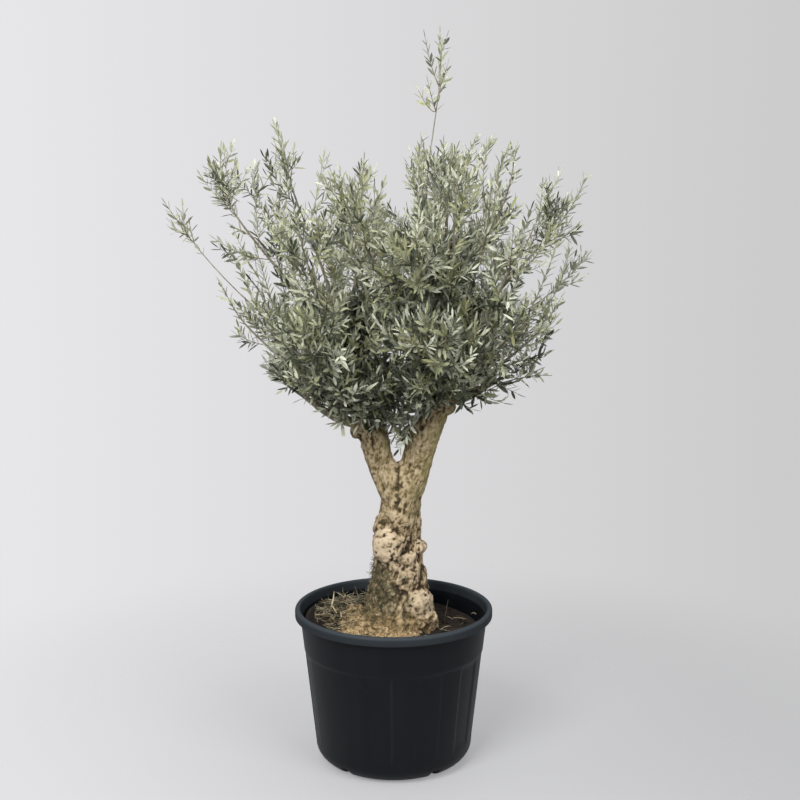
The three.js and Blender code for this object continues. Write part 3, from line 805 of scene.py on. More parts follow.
class Gathering:
    """Many small closed shapes of a few kinds, gathered into one mesh."""

    CREASE = 60.0

    def __init__(self) -> None:
        """Starts empty."""
        self.points: list[np.ndarray] = []
        self.faces: list[tuple[int, ...]] = []
        self.finishes: list[int] = []
        self.count = 0

    def add(self, points: np.ndarray, faces: Sequence[tuple[int, ...]], finishes: np.ndarray) -> None:
        """Adds many shapes that share one plan of faces.

        Args:
            points: The points of each shape, in millimetres.
            faces: The plan of faces of one shape.
            finishes: The number of the finish of each face of each shape.
        """
        size = points.shape[1]
        for shape in range(len(points)):
            start = self.count + shape * size
            self.faces += [tuple(start + i for i in plan) for plan in faces]
        self.points.append(points.reshape(-1, 3))
        self.finishes += finishes.reshape(-1).tolist()
        self.count += len(points) * size

    def tubes(
        self, lines: np.ndarray, radii: np.ndarray, sides: int, flat: float = 1.0, finish: Any = 0
    ) -> None:
        """Adds tapering tubes with a point at either end.

        Args:
            lines: The points of each tube's line.
            radii: Its radius at each point.
            sides: The number of faces round it.
            flat: How thick it is for its width, for blades.
            finish: The number of its finish, or one for each tube.
        """
        count, stations = lines.shape[:2]
        along = np.gradient(lines, axis=1)
        along /= np.linalg.norm(along, axis=-1, keepdims=True)
        across, over = frames(along)
        angles = np.arange(sides) * tau / sides
        cosines, sines = np.cos(angles)[:, None], np.sin(angles)[:, None]
        ring = across[:, :, None] * cosines + over[:, :, None] * sines * flat
        rings = lines[:, :, None] + ring * radii[:, :, None, None]
        before = lines[:, :1] - along[:, :1] * radii[:, :1, None]
        beyond = lines[:, -1:] + along[:, -1:] * radii[:, -1:, None]
        points = np.concatenate([rings.reshape(count, -1, 3), before, beyond], axis=1)
        root, tip = stations * sides, stations * sides + 1
        plan: list[tuple[int, ...]] = []
        for side in range(sides):
            after = (side + 1) % sides
            for at in range(0, (stations - 1) * sides, sides):
                plan.append((at + side, at + after, at + sides + after, at + sides + side))
            last = (stations - 1) * sides
            plan += [(root, after, side), (tip, last + side, last + after)]
        numbers = np.broadcast_to(np.asarray(finish).reshape(-1, 1), (count, len(plan)))
        self.add(points, plan, numbers)

    def mesh(self, name: str, materials: Iterable[bpy.types.Material]) -> bpy.types.Mesh:
        """Joins all that was gathered.

        Args:
            name: The mesh's name.
            materials: Its materials, by the numbers used.

        Returns:
            The mesh, in metres.
        """
        made = bpy.data.meshes.new(name)
        made.from_pydata((np.concatenate(self.points) * MM).tolist(), [], self.faces)
        made.polygons.foreach_set("material_index", np.array(self.finishes, np.int32))
        for material in materials:
            made.materials.append(material)
        made.shade_smooth()
        made.set_sharp_from_angle(angle=radians(self.CREASE))
        return made


# Pot


@dataclass
class Pot:
    """The round black container, with a rolled rim, soft panels in its wall and notches in its foot."""

    height: float = 395.0
    rim_radius: float = 250.0
    rim_band: float = 23.0
    rim_round: float = 7.5
    lip_width: float = 13.0
    lip_round: float = 4.0
    wall_top_radius: float = 235.0
    wall_foot_radius: float = 199.0
    foot_height: float = 44.0
    foot_radius: float = 146.0
    foot_ring: float = 22.0
    foot_step: float = 6.0
    foot_bevel: float = 4.0
    wall: float = 5.0
    haunch_height: float = 50.0
    floor: float = 15.0
    turn_in: float = 14.0
    ledge_height: float = 288.0
    ledge_depth: float = 1.2
    ledge_reach: float = 1.0
    rim_fillet: float = 3.0
    rim_edge: float = 2.5
    panels: int = 11
    plain_panel: int = 10
    panel_bearing: float = 260.7
    panel_depth: float = 2.6
    panel_top: float = 283.0
    panel_top_fade: float = 5.0
    panel_bottom: float = 52.0
    panel_fade: float = 24.0
    rib_share: float = 0.44
    edge_share: float = 0.06
    notches: int = 5
    notch_bearing: float = 231.0
    notch_width: float = 28.0
    notch_height: float = 10.0
    notch_slope: float = 0.5
    notch_fade: float = 3.0
    outer_stretch: float = 6.5
    inner_stretch: float = 24.0
    crease: float = 38.0
    steps: int = 360

    def wall_radius(self, z: float) -> float:
        """The outside of the wall at a height."""
        share = (z - self.foot_height) / (self.height - self.rim_band - self.foot_height)
        return lerp(self.wall_foot_radius, self.wall_top_radius, share)

    def profile(self) -> list[Pair]:
        """The section, from the middle of the underside round the outside and back along the inside.

        Returns:
            Radius and height of each point.
        """
        under, ring = self.height - self.rim_band, self.foot_radius - self.foot_ring
        swept = (self.wall_foot_radius - self.foot_radius, self.foot_height)
        outer = [(0.0, self.foot_step), (ring - self.foot_bevel, self.foot_step), (ring, 0.0)]
        outer += arc((self.foot_radius, self.foot_height), swept, -90, 0, 12)
        lower, upper = self.ledge_height - self.ledge_reach, self.ledge_height + self.ledge_reach
        outer += [(self.wall_radius(z), z) for z in (self.panel_bottom + self.panel_fade, lower)]
        outer += [(self.wall_radius(upper) + self.ledge_depth, upper)]
        outer += [(self.wall_radius(under) + self.ledge_depth, under - self.rim_fillet)]
        outer += [(self.wall_radius(under) + self.rim_fillet, under)]
        inset = (self.rim_radius - self.rim_edge, under + self.rim_edge)
        outer += arc(inset, (self.rim_edge, self.rim_edge), -90, 0, 3)
        rounded = (self.rim_radius - self.rim_round, self.height - self.rim_round)
        outer += arc(rounded, (self.rim_round, self.rim_round), 0, 90, 6)
        lip = (self.rim_radius - self.lip_width + self.lip_round, self.height - self.lip_round)
        inner = arc(lip, (self.lip_round, self.lip_round), 90, 180, 4)
        inner += [(self.wall_radius(z) - self.wall, z) for z in (under, self.haunch_height)]
        inner += [(self.foot_radius + self.turn_in, self.floor), (0.0, self.floor)]
        return evenly(outer, self.outer_stretch) + evenly(inner, self.inner_stretch)

    def recess(self, bearing: float, z: float) -> Pair:
        """How far the wall is set in at a place.

        Args:
            bearing: The bearing, in degrees.
            z: The height.

        Returns:
            The depth, in millimetres, and the share of a painted highlight along the panel's far edge.
        """
        turned = (bearing - self.panel_bearing) * self.panels / 360 + (1 + self.rib_share) / 2
        panel, share = int(turned // 1) % self.panels, turned % 1
        if panel == self.plain_panel:
            return 0.0, 0.0
        soft = self.edge_share
        closing = smooth(1 - soft, 1, share)
        across = smooth(self.rib_share, self.rib_share + soft, share) * (1 - closing)
        upward = smooth(self.panel_bottom, self.panel_bottom + self.panel_fade, z)
        downward = 1 - smooth(self.panel_top - self.panel_top_fade, self.panel_top, z)
        # The second value is a painted highlight along the panel's closing edge, where a lamp would catch the
        # step
        return self.panel_depth * across * upward * downward, 4 * closing * (1 - closing) * upward * downward

    def notched(self, bearing: float, radius: float, z: float) -> float:
        """The height of a point of the foot, which is lifted in a notch.

        Args:
            bearing: Its bearing, in degrees.
            radius: Its distance from the axis.
            z: Its height.

        Returns:
            The height, in millimetres.
        """
        turn = 360 / self.notches
        off = abs((bearing - self.notch_bearing + turn / 2) % turn - turn / 2)
        side = radians(off) * radius
        past_floor = max(radius - self.foot_radius - self.turn_in, 0.0)
        ceiling = self.notch_height + self.notch_slope * past_floor
        half, ring = self.notch_width / 2, self.foot_radius - self.foot_ring
        if radius < ring - 1 or side > half or z > ceiling:
            return z
        return lerp(ceiling, z, smooth(half - self.notch_fade, half, side))

    def build(self) -> None:
        """Spins the section, sets in the panels and lifts the notches."""
        bm = spun(self.profile(), self.steps)
        dust = []
        for vertex in bm.verts:
            x, y, z = vertex.co
            radius, bearing = hypot(x, y), degrees(atan2(y, x)) % 360
            outside = abs(radius - self.wall_radius(z)) < 1.0 and self.foot_height < z < self.panel_top + 1
            depth, edge_highlight = self.recess(bearing, z) if outside else (0.0, 0.0)
            dust.append(edge_highlight)
            if outside:
                kept = (radius - depth) / radius
                vertex.co = (x * kept, y * kept, z)
            elif z < self.foot_height and radius > 1:
                vertex.co.z = self.notched(bearing, radius, z)
        mesh = mesh_of(bm, "container", [ContainerPlastic("container_plastic").material()])
        mesh.set_sharp_from_angle(angle=radians(self.crease))
        # Keeps the painted highlight of the panel edges on the mesh for the finish
        keep_values(mesh, {"dust": dust})
        in_place("container", mesh, ["pot"])


# Root ball


@dataclass
class RootBall:
    """Clay and peat with crumbs, straw and fallen leaves on it."""

    level: float = 350.0
    fall: float = 0.075
    dome_rise: float = 24.0
    dome: Pair = (-75.0, 20.0)
    dome_spread: float = 90.0
    clear: float = 1.2
    edge_from: float = 180.0
    edge_drop: float = 18.0
    trunk_foot: float = 92.0
    trunk_middle: float = 8.0
    sides: int = 200
    crumbs: int = 1000
    crumb_reach: float = 208.0
    crumb_sizes: Pair = (1.6, 8.5)
    straws: int = 410
    straw_reach: float = 212.0
    straw_room: float = 200.0
    straw_lengths: Pair = (18.0, 58.0)
    straw_widths: Pair = (0.7, 2.0)
    straw_shares: tuple[float, ...] = (0.32, 0.64, 0.78)
    loose: tuple[tuple[float, Stations], ...] = (
        (1.1, ((130, 30, 344), (133, 30, 362), (136, 31, 380), (140, 32, 399))),
        (1.7, ((153, 34, 350), (164, 33, 351), (175, 31, 350), (186, 30, 349))),
        (2.8, ((200, 58, 352), (204, 55, 356), (209, 52, 357), (213, 50, 354))),
        (1.5, ((118, -60, 352), (128, -54, 356), (137, -50, 357), (145, -44, 353))),
    )
    stray_straws: int = 60
    seed: int = 41

    def height(self, x: float, y: float) -> float:
        """The even height of the soil at a place, as in the solids."""
        spread = ((x - self.dome[0]) ** 2 + (y - self.dome[1]) ** 2) / (2 * self.dome_spread**2)
        return self.level - self.fall * x + self.dome_rise * exp(-spread)

    def rough_height(self, x: float, y: float) -> float:
        """The height with its clods and crumbs.

        Args:
            x: The place to the right.
            y: Its place to the back.

        Returns:
            The height, in millimetres.
        """
        place = Vector((x, y, 0.0))
        clods = noise.noise(place / 42) * 7 + noise.noise(place / 17) * 5.5
        crumbs = noise.turbulence(place / 9, 3, False) * 4
        sunken = self.edge_drop * smooth(self.edge_from, self.edge_from + 24, hypot(x, y))
        return self.height(x, y) + clods + crumbs - 3 - sunken

    def shares(self, x: float, y: float) -> Pair:
        """How much of the soil is clay and how much is litter at a place.

        Args:
            x: The place to the right.
            y: Its place to the back.

        Returns:
            The share of clay, and that of litter in the rest.
        """
        ripple = noise.noise(Vector((x, y, 7.0)) / 30) * 26
        left, right = smooth(-150, -108, x + ripple), 1 - smooth(42, 84, x - ripple)
        clay = left * right * (1 - smooth(25, 75, y + ripple))
        litter = (1 - smooth(-75, 5, x + ripple)) * (1 - smooth(180, 200, hypot(x, y)))
        return clay, litter

    def bed(self, pot: Pot) -> None:
        """The body of soil, filling the pot.

        Args:
            pot: The pot that holds it.
        """
        floor = pot.floor + self.clear
        rim = self.level - 30
        edge = pot.wall_radius(rim) - pot.wall - self.clear
        bottom = [(0.0, floor), (pot.foot_radius + pot.turn_in - self.clear, floor)]
        haunch = (pot.wall_radius(pot.haunch_height) - pot.wall - self.clear, pot.haunch_height)
        top = evenly([(edge, self.level), (0.0, self.level)], 4.0)
        bm = spun([*bottom, haunch, (edge, rim), *top], self.sides)
        for vertex in bm.verts:
            if vertex.co.z > rim + 1:
                x, y = vertex.co.xy
                settled = smooth(edge - 1, edge - 22, hypot(x, y))
                vertex.co.z = lerp(self.height(x, y) - 4, self.rough_height(x, y), settled)
        shares = [self.shares(*vertex.co.xy) for vertex in bm.verts]
        mesh = mesh_of(bm, "root_ball", [RootBallSoil("root_ball_soil").material()])
        keep_values(mesh, {"clay": [s[0] for s in shares], "litter": [s[1] for s in shares]})
        in_place("root_ball", mesh, ["soil"])

    def off_trunk(self, x: float, y: float) -> float:
        """The distance of a place from the middle of the trunk."""
        return hypot(x - self.trunk_middle, y)

    def crumbled(self) -> None:
        """Crumbs and clods that lie on the clay."""
        draw = Draws(self.seed)
        model = bmesh.new()
        bmesh.ops.create_icosphere(model, subdivisions=1, radius=1.0)
        shape = np.array([v.co for v in model.verts])
        plan = [tuple(v.index for v in f.verts) for f in model.faces]
        model.free()
        points, clays = [], []
        while len(points) < self.crumbs:
            x, y = draw.between(-190, 200), draw.between(-200, 160)
            clay, _ = self.shares(x, y)
            sparse = draw() > 0.1 + 0.9 * clay
            blocked = hypot(x, y) > self.crumb_reach or self.off_trunk(x, y) < self.trunk_foot
            if sparse or blocked:
                continue
            size = self.crumb_sizes[0] + self.crumb_sizes[1] * draw() ** 3
            bumps = np.array([1 + 0.4 * noise.noise(Vector(p) * 1.7 + Vector((x, y, 0))) for p in shape])
            flat = np.array([draw.between(0.7, 1.1), draw.between(0.6, 1.0), draw.between(0.5, 0.85)])
            centre = np.array([x, y, self.rough_height(x, y) + size * 0.25])
            points.append(centre + shape * bumps[:, None] * flat * size)
            clays += [clay] * len(shape)
        crumbs = Gathering()
        crumbs.add(np.array(points), plan, np.zeros((len(points), len(plan)), int))
        mesh = crumbs.mesh("clay_crumbs", [RootBallSoil("crumb_clay").material()])
        keep_values(mesh, {"clay": clays, "litter": np.zeros(len(clays))})
        in_place("clay_crumbs", mesh)

    def straw_line(self, x: float, y: float, litter: float, draw: Draws) -> list[Vector]:
        """The line of one straw, which lies on the soil or stands out of it.

        Args:
            x: Its root's place, to the right.
            y: Its place to the back.
            litter: The share of litter there.
            draw: The draws.

        Returns:
            Its stations.
        """
        length = draw.between(*self.straw_lengths)
        lean = draw.between(76, 98) if draw() < 0.95 else draw.between(20, 70)
        away = heading(draw.between(0, 360), lean)
        bend = heading(draw.between(0, 360), 90) * length * draw.between(0.0, 0.12)
        root = Vector((x, y, self.rough_height(x, y) + 1.5 + litter * draw.between(0, 13)))
        stations = []
        for i in range(4):
            share = i / 3
            place = root + away * length * share + bend * share * (1 - share) * 4
            reach = hypot(place.x, place.y)
            if reach > self.straw_room:
                place.x, place.y = place.x * self.straw_room / reach, place.y * self.straw_room / reach
            place.z = max(place.z, self.rough_height(place.x, place.y) + 1.2)
            stations.append(place)
        return stations

    def strewn(self) -> None:
        """Straw, grass and fallen leaves, thick on the left and sparse elsewhere."""
        draw = Draws(self.seed + 1)
        lines, widths, looks = [], [], []
        reach = self.straw_reach
        while len(lines) < self.straws + self.stray_straws:
            x, y = draw.between(-reach, reach), draw.between(-reach, reach)
            clay, litter = self.shares(x, y)
            stray = len(lines) >= self.straws
            blocked = hypot(x, y) > reach or self.off_trunk(x, y) < self.trunk_foot - 12
            if blocked or draw() > (1.0 if stray else litter * (1 - 0.8 * clay)):
                continue
            lines.append(self.straw_line(x, y, litter, draw))
            width = draw.between(*self.straw_widths) * (0.6 if stray else 1.0)
            widths.append((width * 0.7, width, width * 0.9, width * 0.35))
            drawn = draw()
            looks.append(sum(drawn > share for share in self.straw_shares))
        for width, stations in self.loose:
            lines.append([Vector(station) for station in stations])
            widths.append((width * 0.7, width, width * 0.9, width * 0.5))
            looks.append(0)
        litter_bed = Gathering()
        litter_bed.tubes(np.array(lines), np.array(widths), 4, 0.35, np.array(looks))
        finishes = (
            DryStraw("pale_straw", (0.53, 0.45, 0.285), (0.26, 0.215, 0.125)),
            DryStraw("grey_straw", (0.20, 0.17, 0.105), (0.085, 0.072, 0.042)),
            DryStraw("green_straw", (0.14, 0.14, 0.07), (0.065, 0.068, 0.034)),
            DryStraw("brown_straw", (0.19, 0.13, 0.065), (0.065, 0.042, 0.02)),
        )
        mesh = litter_bed.mesh("straw_litter", [finish.material() for finish in finishes])
        in_place("straw_litter", mesh)


# Trunk and limbs


@dataclass(frozen=True)
class Burl:
    """A swelling on a limb: its bearing and height on the surface, and its radii across and up."""

    bearing: float
    height: float
    across: float
    up: float
    sink: float
    pale: float
    limb: str = "trunk"


# Flutes of old wood: their depth, their number round a limb, how they wind up it, and where they start
FLUTES = ((0.06, 3, 5, 0.0), (0.035, 5, -8, 1.3), (0.02, 1, 17, 0.0))


def fluted(angle: float, share: float) -> float:
    """The flutes of old wood, which wind up a limb, as a part of its radius."""
    return sum(depth * sin(count * angle + wind * share + start) for depth, count, wind, start in FLUTES)


@dataclass(frozen=True)
class Slit:
    """An upright crevice in the front of the wood: where it starts and ends, its half width and its depth."""

    low: Pair
    high: Pair
    reach: float
    depth: float

    def share(self, place: Vector) -> float:
        """How much of the crevice there is at a place.

        Args:
            place: The place, in millimetres.

        Returns:
            From 0, outside it, to 1 along its middle.
        """
        if place.y > 5:
            return 0.0
        along = (place.z - self.low[1]) / (self.high[1] - self.low[1])
        wander = noise.noise(Vector((place.z / 14, self.low[0], 0.0))) * self.reach
        off = abs(place.x - lerp(self.low[0], self.high[0], along) - wander) / self.reach
        holes = 0.6 + 0.8 * noise.noise(Vector((self.low[0], 3.0, place.z / 9)))
        ends = smooth(0, 0.12, along) * (1 - smooth(0.88, 1, along))
        return (1 - smooth(0.3, 1.3, off)) * ends * min(max(holes, 0.0), 1.0)


@dataclass
class OldWood:
    """The trunk, both limbs and the leader as one skin with the relief of old bark."""

    trunk: Stations = (
        (8, 2, 330, 103), (10, 1, 370, 92), (13, 0, 415, 81), (12, 0, 468, 71), (9, 0, 520, 59),
        (11, 0, 570, 55), (15, 0, 620, 52), (19, 0, 670, 50), (21, 0, 718, 54), (21, 0, 762, 36),
    )
    left: Stations = (
        (4, 0, 690, 40), (-33, -1, 765, 33), (-53, -4, 838, 38), (-68, -8, 884, 36), (-73, -10, 914, 27),
    )
    right: Stations = (
        (26, 0, 690, 46), (56, 0, 765, 38), (78, 1, 845, 41), (105, 5, 905, 35), (111, 8, 950, 29),
        (107, 10, 1010, 25), (106, 16, 1080, 22), (113, 18, 1165, 15),
    )
    burls: tuple[Burl, ...] = (
        Burl(238, 561, 43, 44, 0.06, 1.0),
        Burl(340, 553, 23, 20, -0.2, 0.7),
        Burl(303, 531, 21, 19, 0.3, 0.85),
        Burl(320, 412, 44, 38, 0.34, 0.9),
        Burl(325, 372, 38, 24, 0.35, 0.2),
        Burl(290, 478, 34, 30, 0.6, 0.4),
        Burl(265, 516, 21, 24, 0.45, 0.45),
        Burl(318, 500, 18, 22, 0.45, 0.45),
        Burl(222, 436, 36, 31, 0.6, 0.0),
        Burl(206, 600, 36, 40, 0.38, 0.0),
        Burl(350, 612, 14, 18, 0.4, 0.2),
        Burl(96, 430, 44, 38, 0.5, 0.6),
        Burl(62, 566, 28, 32, 0.5, 0.8),
        Burl(18, 470, 30, 38, 0.6, 0.4),
        Burl(186, 846, 21, 21, -0.05, 0.1, "left"),
        Burl(12, 872, 15, 16, 0.3, 0.3, "left"),
        Burl(352, 906, 25, 23, 0.1, 0.3, "right"),
        Burl(190, 858, 15, 17, 0.4, 0.1, "right"),
    )
    slits: tuple[Slit, ...] = (
        Slit((10, 636), (8, 764), 6.0, 7.0),
        Slit((24, 640), (32, 700), 3.5, 3.5),
        Slit((-50, 792), (-54, 872), 3.5, 5.0),
        Slit((-84, 806), (-80, 852), 3.5, 5.0),
        Slit((-24, 700), (-44, 752), 4.0, 3.5),
    )
    knot: Triple = (68.0, -38.0, 858.0)
    knot_radius: float = 11.0
    burl_depth: float = 0.74
    fluting: Triple = (1.0, 0.7, 0.6)
    soil_line: float = 352.0
    stained_to: float = 425.0
    mossy_to: Pair = (490.0, 545.0)
    filmed_from: Pair = (560.0, 700.0)
    voxel: float = 2.5
    twist: float = 0.0052
    swell_size: float = 30.0
    knob_size: float = 14.0
    pit_size: float = 11.0
    dent_size: float = 7.5
    grain_size: float = 5.5
    fibre_size: float = 4.5
    furrow_size: float = 13.0
    fibres: int = 900
    seed: int = 61

    def limbs(self) -> dict[str, Limb]:
        """The trunk and both limbs by name, the right one with its leader."""
        lines = {"trunk": self.trunk, "left": self.left, "right": self.right}
        return {name: Limb.through(stations) for name, stations in lines.items()}

    def burl_centre(self, limb: Limb, burl: Burl) -> Vector:
        """Where the middle of a burl lies: on its bearing from the limb's line, sunk by part of its radius.

        Args:
            limb: The limb that it is on.
            burl: The burl.

        Returns:
            The place, in millimetres.
        """
        share = next((i / 200 for i in range(201) if limb.path.point(i / 200).z >= burl.height), 1.0)
        reach = limb.radius(share) - burl.sink * burl.across
        centre = limb.path.point(share) + heading(burl.bearing, 90) * reach
        centre.z = burl.height
        return centre

    def relief(self, place: Vector, burl: float, ring: float) -> Pair:
        """How far the bark stands out at a place, and its tone: pale where it is worn, dark in its hollows as
        painted shade.

        Args:
            place: The place, in millimetres.
            burl: How much of a burl it is.
            ring: How much it lies in the crevice round a burl.

        Returns:
            The height of the relief in millimetres, and its tone from 0, a crevice painted dark as painted
            shade, to 1, a crest.
        """
        turned = Matrix.Rotation(-self.twist * place.z, 3, "Z") @ place
        upper = smooth(560, 690, place.z)
        swell = noise.noise(place / self.swell_size)
        knobs = noise.noise(Vector((turned.x, turned.y, place.z * 0.8)) / self.knob_size)
        grain = noise.noise(place / self.grain_size)
        fine, wide = self.fibre_size, self.furrow_size
        fibres = noise.noise(Vector((turned.x / fine, turned.y / fine, place.z / 40)))
        furrow = abs(noise.noise(Vector((turned.x / wide, turned.y / wide, place.z / lerp(24, 60, upper)))))
        furrow = 1 - smooth(0.0, lerp(0.16, 0.09, upper), furrow)
        distances, cores = noise.voronoi(place / self.pit_size)
        chosen = smooth(0.0, 0.2, noise.noise(cores[0] * 5.3))
        pit = (1 - smooth(0.1, 0.34, distances[0])) * chosen * lerp(1.0, 0.5, upper)
        dents = noise.noise(place / self.dent_size)
        gnarled = knobs * lerp(4.6, 1.5, upper) - furrow * lerp(3.0, 1.3, upper) - pit * 2.4 + dents * 0.9
        dented = knobs * 1.1 + dents * 0.9 - pit * 0.9
        height = swell * lerp(4.5, 2.2, upper) + grain * 0.8 + fibres * lerp(0.5, 0.9, upper)
        height += lerp(gnarled, dented, burl) - ring * 2.6
        # The tone falls in furrows, pits and the crevice round each burl: painted shade in those hollows, on
        # top of the bark's own darker hollows
        tone = lerp(0.44, 0.58, upper) + knobs * lerp(0.6, 0.3, upper) + swell * 0.25 + fibres * 0.25
        tone += grain * 0.2 + dents * 0.35 - furrow * lerp(0.42, 0.3, upper)
        worn = 0.62 + knobs * 0.45 + dents * 0.6 + grain * 0.3
        return height, lerp(tone, worn, burl) - pit * lerp(0.3, 0.06, burl) - ring * 0.42

    def build(self) -> None:
        """Grows the limbs and burls together, then raises the relief of the bark."""
        limbs = self.limbs()
        bm = bmesh.new()
        for limb, share_of_flutes in zip(limbs.values(), self.fluting):
            extruded_limb(bm, limb, 40, 60, lambda a, t, f=share_of_flutes: 1 + f * fluted(a, t))
        centres = [(self.burl_centre(limbs[burl.limb], burl), burl) for burl in self.burls]
        for centre, burl in centres:
            self.swelling(bm, centre, burl)
        skin = fused(bm, self.voxel, 9)
        knot = Vector(self.knot)
        kept: dict[str, list[float]] = {"relief": [], "burl": [], "film": [], "moss": [], "clay": []}
        moves = []
        for vertex in skin.verts:
            place, normal = vertex.co, vertex.normal
            on_burl, pale, ring = self.burl_shares(place, centres)
            height, tone = self.relief(place, on_burl, ring)
            hole = 1 - smooth(0.3, 1.0, (place - knot).length / self.knot_radius)
            slit = max(slit.share(place) * slit.depth for slit in self.slits)
            height -= 8 * hole + slit
            in_soil = 1 - smooth(self.soil_line - 11, self.soil_line, place.z)
            moves.append(place + normal * height * (1 - in_soil))
            # Slits darken the tone by their depth: painted shade in the crevices
            tone = min(max(tone - slit * 0.11, 0.0), 1.0)
            patch = noise.noise(place / 22)
            mossy = smooth(-0.1, 0.55, -0.85 * normal.x - 0.35 * normal.y + patch * 0.5)
            olive = smooth(0.1, 0.75, normal.x + 0.25 * patch)
            # The relief tone is brought to black in the knot hole and cut by a quarter on faces that look
            # down: painted shade in the hole and on the undersides
            kept["relief"].append(tone * (1 - hole) * (1 - 0.25 * smooth(0.2, 0.9, -normal.z)))
            kept["burl"].append(pale)
            kept["film"].append(smooth(*self.filmed_from, place.z) * (0.25 + 0.75 * olive))
            kept["moss"].append(mossy * (1 - smooth(*self.mossy_to, place.z)) * (1 - on_burl))
            stained = 1 - smooth(self.soil_line, self.stained_to, place.z + patch * 30)
            kept["clay"].append(stained * (1 - 0.6 * smooth(20, 70, place.x)))
        for vertex, moved in zip(skin.verts, moves):
            vertex.co = moved
        skin.normal_update()
        rooted = [
            (vertex.co.copy(), vertex.normal.copy())
            for vertex, moss in zip(skin.verts, kept["moss"]) if moss > 0.3 and vertex.co.z > self.soil_line
        ]
        mesh = mesh_of(skin, "old_wood", [OldBark("old_bark").material()])
        keep_values(mesh, kept)
        self.tufts(rooted)
        in_place("old_wood", mesh, ["trunk", "limb_left", "limb_right", "leader"])

    def swelling(self, bm: bmesh.types.BMesh, centre: Vector, burl: Burl) -> None:
        """Adds the uneven body of a burl, flatter outward than it is wide.

        Args:
            bm: The bmesh.
            centre: Its middle.
            burl: The burl.
        """
        turn = Matrix.Rotation(radians(burl.bearing), 4, "Z")
        stretch = Matrix.Diagonal((burl.across * self.burl_depth, burl.across, burl.up, 1.0))
        made = bmesh.ops.create_icosphere(bm, subdivisions=4, radius=1.0)["verts"]
        for vertex in made:
            way = vertex.co.copy()
            place = centre + turn @ stretch @ way
            uneven = 1 + 0.16 * noise.noise(place / 26) + 0.05 * noise.noise(place / 9)
            vertex.co = centre + (place - centre) * uneven

    @staticmethod
    def burl_shares(place: Vector, centres: list[tuple[Vector, Burl]]) -> Triple:
        """How far a place belongs to a burl.

        Args:
            place: The place, in millimetres.
            centres: The middle of each burl, with the burl.

        Returns:
            The share of a burl, its paleness, and the share of the crevice round it.
        """
        on_burl = pale = ring = 0.0
        for centre, burl in centres:
            off = place - centre
            reach = sqrt((off.x**2 + off.y**2) / burl.across**2 + off.z**2 / burl.up**2)
            if reach > 1.4:
                continue
            uneven = 0.16 * noise.noise(place / 12)
            share = 1 - smooth(0.92 + uneven, 1.12 + uneven, reach)
            on_burl = max(on_burl, share * (0.1 + 0.9 * burl.pale))
            pale = max(pale, share * burl.pale * (0.75 + 0.5 * noise.noise(place / 13)))
            ring = max(ring, smooth(1.0, 1.08, reach) * (1 - smooth(1.12, 1.34, reach)))
        return on_burl, pale, ring * (1 - on_burl) * (0.6 + 0.6 * noise.noise(place / 19))

    def tufts(self, rooted: list[tuple[Vector, Vector]]) -> None:
        """Dry moss and grass that cling to the mossy side of the trunk's foot.

        Args:
            rooted: Places on the mossy bark, with the direction that it faces there.
        """
        draw = Draws(self.seed)
        lines, widths, looks = [], [], []
        for _ in range(self.fibres):
            root, out = rooted[int(draw() * len(rooted))]
            length = draw.between(5, 17)
            hang = heading(draw.between(0, 360), 90) * draw.between(0.0, 0.9) + UP * draw.between(-1.0, 0.7)
            way = (hang - out * hang.dot(out) + out * draw.between(0.12, 0.5)).normalized()
            bend = out * length * draw.between(0.0, 0.2)
            lines.append([root - out, root + way * length * 0.5 + bend, root + way * length])
            width = draw.between(0.35, 0.8)
            widths.append((width, width, width * 0.4))
            looks.append(int(draw() * 3))
        gathered = Gathering()
        gathered.tubes(np.array(lines), np.array(widths), 3, 1.0, np.array(looks))
        finishes = (
            DryStraw("moss_grey", (0.165, 0.15, 0.088), (0.075, 0.07, 0.038)),
            DryStraw("moss_green", (0.105, 0.105, 0.045), (0.045, 0.047, 0.021)),
            DryStraw("moss_straw", (0.33, 0.27, 0.15), (0.17, 0.135, 0.07)),
        )
        mesh = gathered.mesh("trunk_moss", [finish.material() for finish in finishes])
        in_place("trunk_moss", mesh)


# Boughs


@dataclass(frozen=True)
class BoughPlan:
    """A bough: the limb and the share of it that it grows from, its direction and its length."""

    name: str
    carrier: str
    at: float
    bearing: float
    tilt: float
    length: float

    @property
    def way(self) -> Vector:
        """The direction that it is sent in."""
        return heading(self.bearing, self.tilt)


@dataclass
class Bough:
    """A grown bough, with the number of stems that it carries."""

    plan: BoughPlan
    limb: Limb
    carried: int = 0


